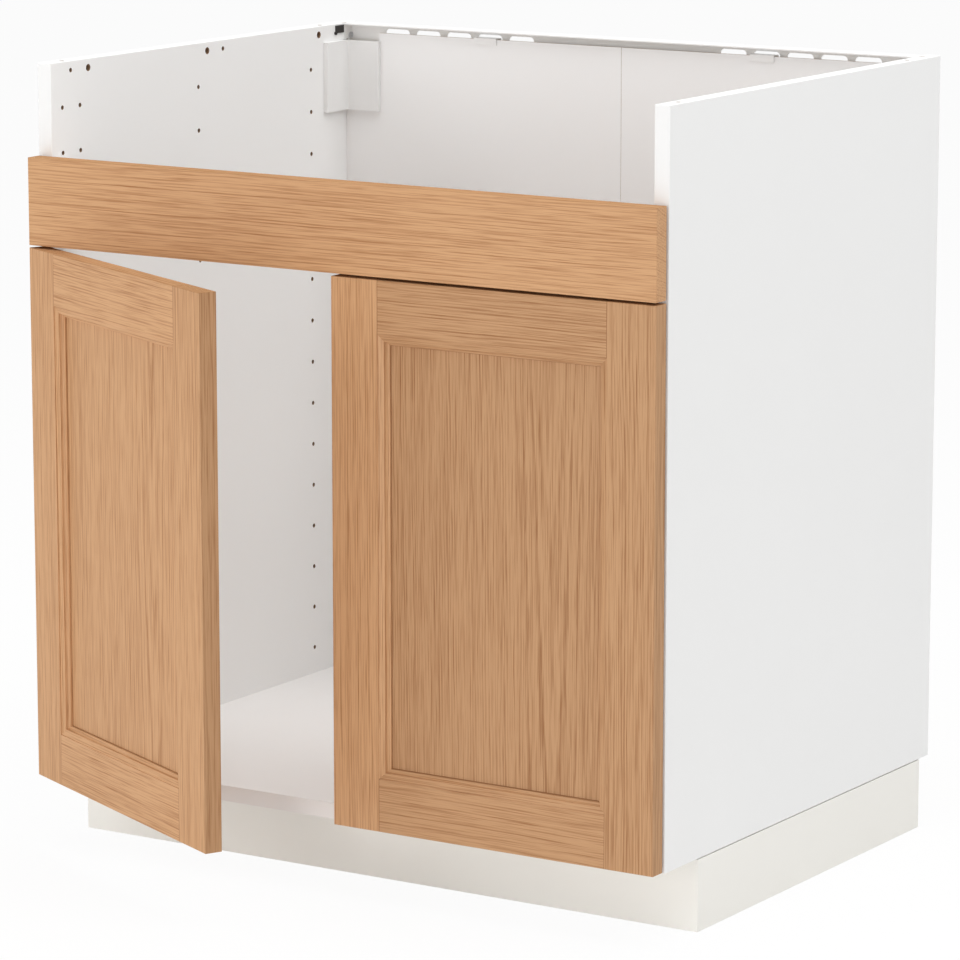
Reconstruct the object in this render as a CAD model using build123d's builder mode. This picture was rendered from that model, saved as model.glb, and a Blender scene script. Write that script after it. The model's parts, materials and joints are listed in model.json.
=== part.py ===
from build123d import *
import os
from math import cos, radians, sin

# Kitchen base cabinet for an apron-front sink, in millimetres.
# Origin: on the floor, mid-width, in the middle of the front plinth board's thickness.
# +X is to the right, +Y runs back to the wall, +Z is up. The left door stands part open at rest.

# Carcass
cabinet_width = 800.0
cabinet_depth = 600.0
carcass_height = 800.0
board = 18.0
board_edge_round = 0.6

# Plinth under the carcass
plinth_height = 80.0
plinth_board = 16.0
plinth_setback = 70.0
plinth_top_gap = 1.0
plinth_rear_gap = 22.0

# Fronts: open strip for the sink apron, fixed panel, doors below it
sink_opening = 100.0
panel_module = 100.0
front_gap = 3.0
front_thickness = 20.0
front_standoff = 2.5
front_edge_round = 0.8

# Pin holes in the side panels, measured from the carcass front and underside
pin_hole_radius = 2.5
pin_hole_depth = 13.0
pin_pitch = 50.0
pin_row_count = 15
pin_first_row = 50.0
hinge_column = 20.0
hole_pair_spacing = 32.0
middle_column = 276.0
rear_column_inset = 96.0

# Fixing holes along the top of the side panels
top_hole_drop = 10.0
top_small_front = 36.0
top_large_rear_inset = 79.0
top_middle_spacing = 31.0
top_middle_offset = 18.0
top_large_radius = 4.0
top_large_depth = 12.0
edge_hole_radius = 3.0
edge_hole_depth = 6.0
edge_hole_inset = 32.0
edge_hole_rear_inset = 64.0

# Back boards
back_thickness = 3.0
back_inset = 20.5
back_top_drop = 10.0
back_notch_width = 47.0
back_notch_gap = 3.0
groove_depth = 8.0
groove_clearance = 0.2
back_seam = 0.4

# Board joints: dowels and cam fittings between the bottom and the sides
cam_inset = 50.0
dowel_step = 80.0
dowel_radius = 4.0
dowel_in_side = 11.0
dowel_in_bottom = 19.0
joint_clearance = 0.1
cam_radius = 7.5
cam_height = 12.5
cam_from_edge = 24.0
cam_slot_length = 9.8
cam_slot_width = 1.9
cam_slot_depth = 2.5
cam_bolt_radius = 3.0
cam_bolt_gap = 2.3

# Slotted steel rail along the top of the back
sheet = 1.5
rail_depth = 19.5
rail_rear_gap = 8.5
rail_web_height = 30.0
rail_slot_length = 34.0
rail_slot_height = 13.0
rail_slot_round = 5.0
rail_slot_drop = 5.5
rail_slot_first = 142.0
rail_slot_pitch = 43.3
rail_slot_count = 5
rail_end_drop = 19.0
rail_screw_inset = 5.5
rail_screw_drop = 15.0
clip_slot = 1
clip_width = 31.0
clip_sheet = 1.2
clip_lip = 8.0
clip_leg = 16.0

# Dark steel hooks that hold the rail ends to the sides
hook_length = 16.0
hook_height = 9.0
hook_thickness = 2.0
hook_toe = 4.0
hook_peg_length = 8.0

# Wall brackets in the rear corners and their plastic covers
bracket_wing = 38.0
bracket_height = 66.0
bracket_sheet = 2.0
bracket_screw_spacing = 38.0
wall_hole_radius = 3.5
wall_hole_inset = 24.0
cover_wing = 49.0
cover_height = 83.0
cover_drop = 20.0
cover_standoff = 6.0
cover_wall = 1.6

# Cross rail that carries the front panel
cross_rail_height = 60.0
cross_rail_flange = 30.0
cross_tab_height = 36.0
cross_tab_margin = 12.0
panel_screw_count = 4
panel_screw_spacing = 210.0

# Concealed cup hinges. u runs inward from a door's outer edge, v runs back from its rear face.
door_opening = 26.4
link_ratio = -1.0 / 3.0
cup_pin_u = 12.0
cup_pin_v = -7.0
arm_pin_u = 36.0
arm_pin_v = 6.0
pin_radius = 1.5
pin_press_clearance = 0.03
link_bore_clearance = 0.05
link_width = 3.4
link_half_height = 3.5
link_cup_eye = 2.8
link_arm_eye = 3.0
link_bend = 2.5
link_floor_v = -9.0
link_dip_u = 18.0
link_rise_u = 25.0
link_neck_u = 34.0
link_neck_v = 2.0
side_clearance = 0.3
cup_u = 21.5
cup_radius = 17.4
cup_wall = 0.8
cup_depth = 12.2
cup_floor = 1.0
cup_flange = 1.2
cup_flange_radius = 19.5
cup_bore_clearance = 0.1
cup_lug = 2.4
cup_lug_radius = 3.0
cup_ear_u = 31.0
cup_ear_z = 24.0
cup_ear_radius = 6.5
hinge_end_reach = 80.0
plate_thickness = 2.5
plate_height = 17.0
plate_margin = 12.0
arm_cheek = 2.0
arm_sheet = 2.0
arm_depth = 8.0
arm_top_u = 31.0
arm_eye = 3.2
arm_nose_depth = 16.0
arm_rear_depth = 64.0
saddle_length = 16.0

# Screws with a crossed drive
screw_radius = 2.0
screw_head_radius = 3.6
screw_head_height = 1.6
drive_length = 4.4
drive_width = 0.9
screw_clearance = 0.1
peg_screw_radius = 2.4
short_screw = 10.0
panel_screw_length = 14.0
pin_head_radius = 2.3
pin_head_height = 0.5

# Frame-and-panel doors
stile_flat = 58.0
moulding_width = 11.0
moulding_quirk = 1.0
moulding_band = 7.0
moulding_band_drop = 2.0
moulding_hollow_run = 0.30
moulding_hollow_rise = 0.28
moulding_lip = 2.0
centre_panel_recess = 10.0
centre_panel_thickness = 6.0
panel_groove_depth = 8.0
panel_float = 0.5
panel_slip = 0.1
tenon_length = 12.0
tenon_thickness = 8.0
tenon_shoulder = 10.0
tenon_clearance = 0.15
bumper_radius = 5.0
bumper_clearance = 0.3
bumper_inset = 25.0

# Legs and levelling feet
leg_side_inset = 95.0
leg_front_inset = 140.0
leg_rear_inset = 95.0
leg_flange = 56.0
leg_flange_thickness = 4.0
leg_flange_round = 8.0
leg_tube_radius = 21.0
leg_tube_height = 46.0
leg_screw_spacing = 44.0
foot_radius = 26.0
foot_height = 7.0
foot_edge_round = 2.0
stem_radius = 14.9
stem_clearance = 0.3
stem_top_gap = 2.0
thread_pitch = 5.0
thread_depth = 1.2

# Snap clips between legs and plinth
snap_wall = 2.2
snap_height = 14.0
snap_clearance = 0.2
snap_arm_width = 12.0
snap_plate_width = 44.0
snap_plate_height = 34.0
snap_plate_thickness = 2.5
snap_mouth = 26.0

# Places that follow from the sizes
half_width = cabinet_width / 2
inner_x = half_width - board
front_y = -(plinth_setback + plinth_board / 2)
back_y = front_y + cabinet_depth
base_z = plinth_height
floor_z = base_z + board
top_z = base_z + carcass_height
back_recess = cabinet_depth - back_inset
back_board_y = front_y + back_recess
back_top_z = top_z - back_top_drop
back_notch_z = top_z - rail_end_drop - back_notch_gap

fronts_y = front_y - front_standoff
door_width = half_width - front_gap
door_bottom = base_z + front_gap / 2
door_height = carcass_height - sink_opening - panel_module - front_gap
panel_width = cabinet_width - front_gap
panel_height = panel_module - front_gap
panel_bottom = top_z - sink_opening - panel_module + front_gap / 2
panel_middle = panel_bottom + panel_height / 2
door_edge_x = half_width - front_gap / 2
inner_u = board - front_gap / 2

pin_columns = (
    hinge_column,
    hinge_column + hole_pair_spacing,
    middle_column,
    cabinet_depth - rear_column_inset,
)
top_large_middle = middle_column + top_middle_offset
top_small_columns = (top_small_front, top_large_middle + top_middle_spacing)
top_large_columns = (top_small_front + hole_pair_spacing, top_large_middle, cabinet_depth - top_large_rear_inset)
lower_hinge_row = round((door_bottom - base_z + hinge_end_reach - pin_first_row) / pin_pitch)
upper_hinge_row = round((door_bottom - base_z + door_height - hinge_end_reach - pin_first_row) / pin_pitch)
hinge_rows = [base_z + pin_first_row + row * pin_pitch for row in (lower_hinge_row, upper_hinge_row)]
panel_row = round((panel_middle - base_z - pin_first_row) / pin_pitch)
cross_rail_z = base_z + pin_first_row + panel_row * pin_pitch

cam_places = (cam_inset, cabinet_depth - cam_inset)
dowel_places = (cam_inset + dowel_step, cabinet_depth - cam_inset - dowel_step)
joint_z = board / 2

rail_rear_depth = cabinet_depth - rail_rear_gap
rail_front_depth = rail_rear_depth - rail_depth
rail_screw_place = (rail_rear_depth - rail_screw_inset, carcass_height - rail_screw_drop)
hook_middle_depth = rail_front_depth - hook_length / 2 - side_clearance
hook_top = carcass_height - sheet - side_clearance
hook_peg_place = (hook_middle_depth, hook_top - hook_height / 2)
cover_bottom = carcass_height - cover_drop - cover_height
bracket_middle = cover_bottom + cover_height / 2
bracket_screw_depth = back_recess - bracket_wing / 2 - cover_standoff
bracket_screw_places = [
    (bracket_screw_depth, bracket_middle + offset * bracket_screw_spacing / 2) for offset in (-1, 1)
]
wall_hole_place = (inner_x - wall_hole_inset, base_z + bracket_middle)

leg_places = [
    (side * (half_width - leg_side_inset), y)
    for side in (-1, 1)
    for y in (front_y + leg_front_inset, back_y - leg_rear_inset)
]
leg_names = ("front_left", "rear_left", "front_right", "rear_right")
sides = {"left": -1, "right": 1}
openings = {"left": door_opening, "right": 0.0}


os.makedirs("parts", exist_ok=True)


# Helpers
def save(piece, name):
    """Label a finished piece and write it to a file of its own."""
    piece.label = name
    export_step(piece, f"parts/{name}.step")


def inner_face(side):
    """Inner face of a side panel: x is the depth from the carcass front, y the height above its underside."""
    return Plane(origin=(side * inner_x, front_y, base_z), x_dir=(0, 1, 0), z_dir=(1, 0, 0))


def into_side(side, depth, height):
    """A screw seat on a side panel's inner face, with its axis pointing into the cabinet."""
    origin = (side * inner_x, front_y + depth, base_z + height)
    return Plane(origin=origin, x_dir=(0, 1, 0), z_dir=(-side, 0, 0))


def screws(seats, shank_radius, shank_length):
    """Pan-head screws with a crossed drive, one on each seat, their shanks running behind it."""
    with BuildPart() as group:
        for seat in seats:
            with BuildSketch(seat):
                Circle(shank_radius)
            extrude(amount=-shank_length)
            with BuildSketch(seat):
                Circle(screw_head_radius)
            extrude(amount=screw_head_height)
            with BuildSketch(seat.offset(screw_head_height)):
                Rectangle(drive_length, drive_width)
                Rectangle(drive_width, drive_length)
            extrude(amount=-screw_head_height / 2, mode=Mode.SUBTRACT)
    return group.part


def turned(angle, u, v):
    """Turn a plan vector the way a left door opens."""
    a = radians(angle)
    return u * cos(a) + v * sin(a), -u * sin(a) + v * cos(a)


def plan_plane(side, u, v, angle, z):
    """Level plane at a point of a hinge, with its x direction turned as the left or right door opens."""
    a = radians(angle)
    origin = (side * (door_edge_x - u), fronts_y + v, z)
    return Plane(origin=origin, x_dir=(cos(a), side * sin(a), 0), z_dir=(0, 0, 1))


def door_plane(side, opening):
    """Level plane at the foot of a door's outer rear edge. Local x is minus side times u, local y is v."""
    link_u, link_v = turned(link_ratio * opening, cup_pin_u - arm_pin_u, cup_pin_v - arm_pin_v)
    edge_u, edge_v = turned(opening, -cup_pin_u, -cup_pin_v)
    return plan_plane(side, arm_pin_u + link_u + edge_u, arm_pin_v + link_v + edge_v, opening, door_bottom)


def link_plane(side, opening):
    """Level plane on the arm pins of one door's hinges, turned with their links."""
    return plan_plane(side, arm_pin_u, arm_pin_v, link_ratio * opening, 0)


def upright(door):
    """A door's rear face: x as in the door's plane, y up, facing the front."""
    return Plane(origin=door.origin, x_dir=door.x_dir, z_dir=-door.y_dir)


def across(door):
    """Cross-section of a door: x is v, y up, facing along the door's x."""
    return Plane(origin=door.origin, x_dir=door.y_dir, z_dir=door.x_dir)


# Side panels
def side_panel(side):
    with BuildPart() as panel:
        with Locations((side * (half_width - board / 2), front_y + cabinet_depth / 2, base_z)):
            Box(board, cabinet_depth, carcass_height, align=(Align.CENTER, Align.CENTER, Align.MIN))
        fillet(panel.edges(), board_edge_round)
        # Rows of pin holes
        with BuildSketch(inner_face(side)):
            middle_row = pin_first_row + pin_pitch * (pin_row_count - 1) / 2
            with Locations(*[(column, middle_row) for column in pin_columns]):
                with GridLocations(pin_pitch, pin_pitch, 1, pin_row_count):
                    Circle(pin_hole_radius)
            with Locations(*[(column, carcass_height - top_hole_drop) for column in top_small_columns]):
                Circle(pin_hole_radius)
        extrude(amount=side * pin_hole_depth, mode=Mode.SUBTRACT)
        with BuildSketch(inner_face(side)):
            with Locations(*[(column, carcass_height - top_hole_drop) for column in top_large_columns]):
                Circle(top_large_radius)
        extrude(amount=side * top_large_depth, mode=Mode.SUBTRACT)
        # Holes bored down into the top edge
        with BuildSketch(Plane.XY.offset(top_z)):
            for y in (front_y + edge_hole_inset, back_y - edge_hole_rear_inset):
                with Locations((side * (half_width - board / 2), y)):
                    Circle(edge_hole_radius)
        extrude(amount=-edge_hole_depth, mode=Mode.SUBTRACT)
        # Groove for the back boards
        with BuildSketch(inner_face(side)):
            with Locations((back_recess + back_thickness / 2, carcass_height / 2)):
                Rectangle(back_thickness + 2 * groove_clearance, carcass_height)
        extrude(amount=side * groove_depth, mode=Mode.SUBTRACT)
        # Dowel and cam bolt holes for the bottom panel
        with BuildSketch(inner_face(side)):
            with Locations(*[(depth, joint_z) for depth in dowel_places]):
                Circle(dowel_radius + joint_clearance)
            with Locations(*[(depth, joint_z) for depth in cam_places]):
                Circle(cam_bolt_radius + joint_clearance)
        extrude(amount=side * dowel_in_side, mode=Mode.SUBTRACT)
        # Screw and peg holes for the rail ends and the wall bracket
        with BuildSketch(inner_face(side)):
            with Locations(rail_screw_place, *bracket_screw_places):
                Circle(screw_radius + screw_clearance)
            with Locations(hook_peg_place):
                Circle(peg_screw_radius + screw_clearance)
        extrude(amount=side * short_screw, mode=Mode.SUBTRACT)
    return panel.part


for name, side in sides.items():
    save(side_panel(side), f"{name}_side_panel")

# Bottom panel
with BuildPart() as bottom_panel:
    with Locations((0, front_y + cabinet_depth / 2, base_z)):
        Box(2 * inner_x, cabinet_depth, board, align=(Align.CENTER, Align.CENTER, Align.MIN))
    fillet(bottom_panel.edges().filter_by(Axis.X), board_edge_round)
    with BuildSketch(Plane.XY.offset(floor_z)):
        with Locations((0, back_board_y + back_thickness / 2)):
            Rectangle(2 * inner_x, back_thickness + 2 * groove_clearance)
    extrude(amount=-groove_depth, mode=Mode.SUBTRACT)
    for side in sides.values():
        with BuildSketch(inner_face(side)):
            with Locations(*[(depth, joint_z) for depth in dowel_places]):
                Circle(dowel_radius + joint_clearance)
        extrude(amount=-side * (dowel_in_bottom + joint_clearance), mode=Mode.SUBTRACT)
        with BuildSketch(inner_face(side)):
            with Locations(*[(depth, joint_z) for depth in cam_places]):
                Circle(cam_bolt_radius + joint_clearance)
        extrude(amount=-side * cam_from_edge, mode=Mode.SUBTRACT)
    with BuildSketch(Plane.XY.offset(base_z)):
        with Locations(*[(s * (inner_x - cam_from_edge), front_y + d) for s in (-1, 1) for d in cam_places]):
            Circle(cam_radius + joint_clearance)
    extrude(amount=cam_height + joint_clearance, mode=Mode.SUBTRACT)
    with BuildSketch(Plane.XY.offset(base_z)):
        with Locations(*leg_places):
            with GridLocations(leg_screw_spacing, leg_screw_spacing, 2, 2):
                Circle(screw_radius + screw_clearance)
    extrude(amount=short_screw, mode=Mode.SUBTRACT)
save(bottom_panel.part, "bottom_panel")

# Back boards, meeting in the middle
for name, side in sides.items():
    with BuildPart() as back_board:
        outer_x = inner_x + groove_depth - groove_clearance
        low_z = floor_z - groove_depth + groove_clearance
        with Locations((side * (outer_x + back_seam / 2) / 2, back_board_y, (low_z + back_top_z) / 2)):
            Box(
                outer_x - back_seam / 2,
                back_thickness,
                back_top_z - low_z,
                align=(Align.CENTER, Align.MIN, Align.CENTER),
            )
        # Notched corner for the bent end of the rail
        inward = Align.MIN if side < 0 else Align.MAX
        with Locations((side * outer_x, back_board_y, back_top_z)):
            Box(
                outer_x - inner_x + back_notch_width,
                back_thickness,
                back_top_z - back_notch_z,
                align=(inward, Align.MIN, Align.MAX),
                mode=Mode.SUBTRACT,
            )
        with BuildSketch(Plane.XZ.offset(-back_board_y)):
            with Locations((side * wall_hole_place[0], wall_hole_place[1])):
                Circle(wall_hole_radius)
        extrude(amount=-back_thickness, mode=Mode.SUBTRACT)
    save(back_board.part, f"back_board_{name}")

# Dowels, cam bolts and cam locks of the bottom panel
with BuildPart() as dowels:
    for side in sides.values():
        with BuildSketch(inner_face(side).offset(-side * dowel_in_bottom)):
            with Locations(*[(depth, joint_z) for depth in dowel_places]):
                Circle(dowel_radius)
        extrude(amount=side * (dowel_in_bottom + dowel_in_side - joint_clearance))
save(dowels.part, "carcass_dowels")

cam_bolt_reach = cam_from_edge - cam_bolt_gap
with BuildPart() as cam_bolts:
    for side in sides.values():
        with BuildSketch(inner_face(side).offset(-side * cam_bolt_reach)):
            with Locations(*[(depth, joint_z) for depth in cam_places]):
                Circle(cam_bolt_radius)
        extrude(amount=side * (cam_bolt_reach + dowel_in_side - joint_clearance))
save(cam_bolts.part, "cam_bolts")

with BuildPart() as cam_locks:
    with BuildSketch(Plane.XY.offset(base_z)):
        with Locations(*[(s * (inner_x - cam_from_edge), front_y + d) for s in (-1, 1) for d in cam_places]):
            Circle(cam_radius)
    extrude(amount=cam_height)
    for side in sides.values():
        with BuildSketch(inner_face(side)):
            with Locations(*[(depth, joint_z) for depth in cam_places]):
                Circle(cam_bolt_radius + joint_clearance)
        extrude(amount=-side * cam_from_edge, mode=Mode.SUBTRACT)
    with BuildSketch(Plane.XY.offset(base_z)):
        with Locations(*[(s * (inner_x - cam_from_edge), front_y + d) for s in (-1, 1) for d in cam_places]):
            Rectangle(cam_slot_length, cam_slot_width)
            Rectangle(cam_slot_width, cam_slot_length)
    extrude(amount=cam_slot_depth, mode=Mode.SUBTRACT)
save(cam_locks.part, "cam_locks")

# Slotted rear rail: a top flange, a web with oblong slots and bent ends
rail_rear_y = front_y + rail_rear_depth
slot_places = [rail_slot_first + index * rail_slot_pitch for index in range(rail_slot_count)]
slot_z = top_z - rail_slot_drop - rail_slot_height / 2
with BuildPart() as rear_rail:
    with Locations((0, rail_rear_y, top_z)):
        Box(2 * inner_x, rail_depth, sheet, align=(Align.CENTER, Align.MAX, Align.MAX))
        Box(2 * inner_x, sheet, rail_web_height, align=(Align.CENTER, Align.MAX, Align.MAX))
    for side in sides.values():
        inward = Align.MIN if side < 0 else Align.MAX
        with Locations((side * inner_x, rail_rear_y, top_z)):
            Box(sheet, rail_depth, rail_end_drop, align=(inward, Align.MAX, Align.MAX))
        with BuildSketch(inner_face(side)):
            with Locations(rail_screw_place):
                Circle(screw_radius + screw_clearance)
        extrude(amount=-side * sheet, mode=Mode.SUBTRACT)
    with BuildSketch(Plane.XZ.offset(-rail_rear_y)):
        with Locations(*[(s * x, slot_z) for s in (-1, 1) for x in slot_places]):
            RectangleRounded(rail_slot_length, rail_slot_height, rail_slot_round)
    extrude(amount=sheet, mode=Mode.SUBTRACT)
save(rear_rail.part, "rear_rail")

rail_screw_seats = [into_side(side, *rail_screw_place).offset(sheet) for side in sides.values()]
save(screws(rail_screw_seats, screw_radius, short_screw + sheet - screw_clearance), "rear_rail_screws")

# Clips that hold the back boards to the rail
clip_x = slot_places[clip_slot]
web_front_y = rail_rear_y - sheet
clip_top_z = back_top_z + side_clearance + clip_sheet
with BuildPart() as rail_clips:
    for side in sides.values():
        with BuildSketch(Plane.YZ.offset(side * clip_x - clip_width / 2)):
            with BuildLine():
                Polyline(
                    (back_board_y - side_clearance, clip_top_z - clip_lip),
                    (back_board_y - side_clearance, clip_top_z - clip_sheet),
                    (web_front_y - clip_sheet - side_clearance, clip_top_z - clip_sheet),
                    (web_front_y - clip_sheet - side_clearance, clip_top_z - clip_leg),
                    (web_front_y - side_clearance, clip_top_z - clip_leg),
                    (web_front_y - side_clearance, clip_top_z),
                    (back_board_y - side_clearance - clip_sheet, clip_top_z),
                    (back_board_y - side_clearance - clip_sheet, clip_top_z - clip_lip),
                    close=True,
                )
            make_face()
        extrude(amount=clip_width)
save(rail_clips.part, "rear_rail_clips")

# Hooks at the rail ends, pegged into the side panels
with BuildPart() as rail_hooks:
    for side in sides.values():
        with BuildSketch(inner_face(side)):
            with Locations(hook_peg_place):
                Rectangle(hook_length, hook_height)
            with Locations((hook_middle_depth - hook_length / 2, hook_top - hook_height)):
                Circle(hook_toe / 2)
        extrude(amount=-side * hook_thickness)
        with BuildSketch(inner_face(side)):
            with Locations(hook_peg_place):
                Circle(peg_screw_radius)
        extrude(amount=side * hook_peg_length)
save(rail_hooks.part, "rear_rail_hooks")

# Wall brackets in the rear corners, under plastic covers
for name, side in sides.items():
    corner = (side * inner_x, back_board_y)
    bracket_z = base_z + bracket_middle
    with BuildPart() as wall_bracket:
        inward = Align.MIN if side < 0 else Align.MAX
        with Locations((*corner, bracket_z)):
            Box(bracket_wing, bracket_sheet, bracket_height, align=(inward, Align.MAX, Align.CENTER))
            Box(bracket_sheet, bracket_wing, bracket_height, align=(inward, Align.MAX, Align.CENTER))
        with BuildSketch(inner_face(side)):
            with Locations(*bracket_screw_places):
                Circle(screw_radius + screw_clearance)
        extrude(amount=-side * bracket_sheet, mode=Mode.SUBTRACT)
        with BuildSketch(Plane.XZ.offset(-back_board_y)):
            with Locations((side * wall_hole_place[0], wall_hole_place[1])):
                Circle(wall_hole_radius)
        extrude(amount=bracket_sheet, mode=Mode.SUBTRACT)
    save(wall_bracket.part, f"{name}_wall_bracket")

    with BuildPart() as bracket_cover:
        with Locations((*corner, base_z + cover_bottom)):
            Box(cover_wing, cover_standoff, cover_height, align=(inward, Align.MAX, Align.MIN))
            Box(cover_standoff, cover_wing, cover_height, align=(inward, Align.MAX, Align.MIN))
        fillet(bracket_cover.edges().filter_by(Axis.Z), cover_wall / 2)
        pocket = cover_standoff - cover_wall
        reach = cover_wing - cover_wall
        with Locations((*corner, bracket_z)):
            Box(
                reach,
                pocket,
                cover_height - 2 * cover_wall,
                align=(inward, Align.MAX, Align.CENTER),
                mode=Mode.SUBTRACT,
            )
            Box(
                pocket,
                reach,
                cover_height - 2 * cover_wall,
                align=(inward, Align.MAX, Align.CENTER),
                mode=Mode.SUBTRACT,
            )
    save(bracket_cover.part, f"{name}_bracket_cover")

bracket_screw_seats = [
    into_side(side, *place).offset(bracket_sheet) for side in sides.values() for place in bracket_screw_places
]
save(screws(bracket_screw_seats, screw_radius, short_screw + bracket_sheet - screw_clearance), "wall_bracket_screws")

# Cross rail behind the front panel, bent back at its ends along the side panels
cross_tab_depth = hinge_column + hole_pair_spacing + cross_tab_margin
cross_screw_places = [
    (depth, cross_rail_z - base_z) for depth in (hinge_column, hinge_column + hole_pair_spacing)
]
with BuildPart() as cross_rail:
    with Locations((0, fronts_y, cross_rail_z)):
        Box(2 * inner_x, sheet, cross_rail_height, align=(Align.CENTER, Align.MIN, Align.CENTER))
    for edge in (-1, 1):
        outward = Align.MIN if edge < 0 else Align.MAX
        with Locations((0, fronts_y, cross_rail_z + edge * cross_rail_height / 2)):
            Box(2 * inner_x, cross_rail_flange, sheet, align=(Align.CENTER, Align.MIN, outward))
    for side in sides.values():
        inward = Align.MIN if side < 0 else Align.MAX
        with Locations((side * inner_x, fronts_y, cross_rail_z)):
            Box(
                sheet,
                cross_tab_depth + front_standoff,
                cross_tab_height,
                align=(inward, Align.MIN, Align.CENTER),
            )
        with BuildSketch(inner_face(side)):
            with Locations(*cross_screw_places):
                Circle(peg_screw_radius + screw_clearance)
        extrude(amount=-side * sheet, mode=Mode.SUBTRACT)
    with BuildSketch(Plane.XZ.offset(-fronts_y)):
        with Locations((0, cross_rail_z)):
            with GridLocations(panel_screw_spacing, panel_screw_spacing, panel_screw_count, 1):
                Circle(screw_radius + screw_clearance)
    extrude(amount=-sheet, mode=Mode.SUBTRACT)
save(cross_rail.part, "front_cross_rail")

cross_screw_seats = [
    into_side(side, *place).offset(sheet) for side in sides.values() for place in cross_screw_places
]
save(screws(cross_screw_seats, peg_screw_radius, pin_hole_depth), "cross_rail_screws")

# Fixed front panel
with BuildPart() as front_panel:
    with Locations((0, fronts_y, panel_bottom)):
        Box(panel_width, front_thickness, panel_height, align=(Align.CENTER, Align.MAX, Align.MIN))
    fillet(front_panel.edges(), front_edge_round)
    with BuildSketch(Plane.XZ.offset(-fronts_y)):
        with Locations((0, cross_rail_z)):
            with GridLocations(panel_screw_spacing, panel_screw_spacing, panel_screw_count, 1):
                Circle(screw_radius + screw_clearance)
    extrude(amount=panel_screw_length, mode=Mode.SUBTRACT)
save(front_panel.part, "front_panel")

panel_screw_seats = [
    Plane(
        origin=((index - (panel_screw_count - 1) / 2) * panel_screw_spacing, fronts_y + sheet, cross_rail_z),
        x_dir=(1, 0, 0),
        z_dir=(0, 1, 0),
    )
    for index in range(panel_screw_count)
]
save(screws(panel_screw_seats, screw_radius, panel_screw_length), "front_panel_screws")

# Hinge plates on the side panels
plate_front = hinge_column - plate_margin
plate_rear = hinge_column + hole_pair_spacing + plate_margin
plate_top_u = inner_u + plate_thickness
saddle_depth = hinge_column + hole_pair_spacing / 2
saddle_top_u = arm_top_u - arm_sheet
saddle_half = link_half_height + side_clearance - screw_clearance
arm_inner_z = link_half_height + side_clearance
arm_outer_z = arm_inner_z + arm_cheek
hinge_places = [(side, z) for side in sides.values() for z in hinge_rows]
with BuildPart() as hinge_plates:
    for side, z in hinge_places:
        inward = Align.MIN if side < 0 else Align.MAX
        with Locations((side * inner_x, front_y + plate_front, z)):
            Box(plate_thickness, plate_rear - plate_front, plate_height, align=(inward, Align.MIN, Align.CENTER))
        with Locations((side * inner_x, front_y + saddle_depth, z)):
            Box(
                saddle_top_u - inner_u,
                saddle_length,
                2 * saddle_half,
                align=(inward, Align.CENTER, Align.CENTER),
            )
        with BuildSketch(inner_face(side)):
            with Locations((hinge_column, z - base_z), (hinge_column + hole_pair_spacing, z - base_z)):
                Circle(peg_screw_radius + screw_clearance)
        extrude(amount=-side * plate_thickness, mode=Mode.SUBTRACT)
        with BuildSketch(inner_face(side).offset(-side * (saddle_top_u - inner_u))):
            with Locations((saddle_depth, z - base_z)):
                Circle(screw_radius + screw_clearance)
        extrude(amount=side * (saddle_top_u - plate_top_u), mode=Mode.SUBTRACT)
save(hinge_plates.part, "hinge_plates")

plate_screw_seats = [
    into_side(side, depth, z - base_z).offset(plate_thickness)
    for side, z in hinge_places
    for depth in (hinge_column, hinge_column + hole_pair_spacing)
]
save(screws(plate_screw_seats, peg_screw_radius, pin_hole_depth), "hinge_plate_screws")

# Hinge arms: a web over the saddle and two cheeks that fork round the link
arm_middle_u = arm_top_u - arm_depth / 2
arm_nose_v = arm_nose_depth + front_standoff
arm_rear_v = arm_rear_depth + front_standoff
with BuildPart() as hinge_arms:
    for side, z in hinge_places:
        for low in (-arm_outer_z, arm_inner_z):
            with BuildSketch(plan_plane(side, 0, 0, 0, z + low)):
                with Locations((-side * arm_pin_u, arm_pin_v)):
                    Circle(arm_eye)
                with Locations((-side * arm_middle_u, arm_nose_v)):
                    Circle(arm_depth / 2)
                make_hull()
                with Locations((-side * arm_middle_u, (arm_nose_v + arm_rear_v) / 2)):
                    Rectangle(arm_depth, arm_rear_v - arm_nose_v)
                with Locations((-side * arm_pin_u, arm_pin_v)):
                    Circle(pin_radius + pin_press_clearance, mode=Mode.SUBTRACT)
            extrude(amount=arm_cheek)
        with BuildSketch(plan_plane(side, 0, 0, 0, z - arm_outer_z)):
            with Locations((-side * (arm_top_u - arm_sheet / 2), (arm_nose_v + arm_rear_v) / 2)):
                Rectangle(arm_sheet, arm_rear_v - arm_nose_v)
        extrude(amount=2 * arm_outer_z)
        with BuildSketch(inner_face(side).offset(-side * (saddle_top_u - inner_u))):
            with Locations((saddle_depth, z - base_z)):
                Circle(screw_radius + screw_clearance)
        extrude(amount=-side * arm_sheet, mode=Mode.SUBTRACT)
save(hinge_arms.part, "hinge_arms")

arm_screw_seats = [
    into_side(side, saddle_depth, z - base_z).offset(arm_top_u - inner_u) for side, z in hinge_places
]
save(screws(arm_screw_seats, screw_radius, arm_top_u - plate_top_u), "hinge_arm_screws")

with BuildPart() as arm_pins:
    for side, z in hinge_places:
        with BuildSketch(plan_plane(side, arm_pin_u, arm_pin_v, 0, z - arm_outer_z)):
            Circle(pin_radius)
        extrude(amount=2 * arm_outer_z)
        for low in (-arm_outer_z - pin_head_height, arm_outer_z):
            with BuildSketch(plan_plane(side, arm_pin_u, arm_pin_v, 0, z + low)):
                Circle(pin_head_radius)
            extrude(amount=pin_head_height)
save(arm_pins.part, "hinge_arm_pins")


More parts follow.
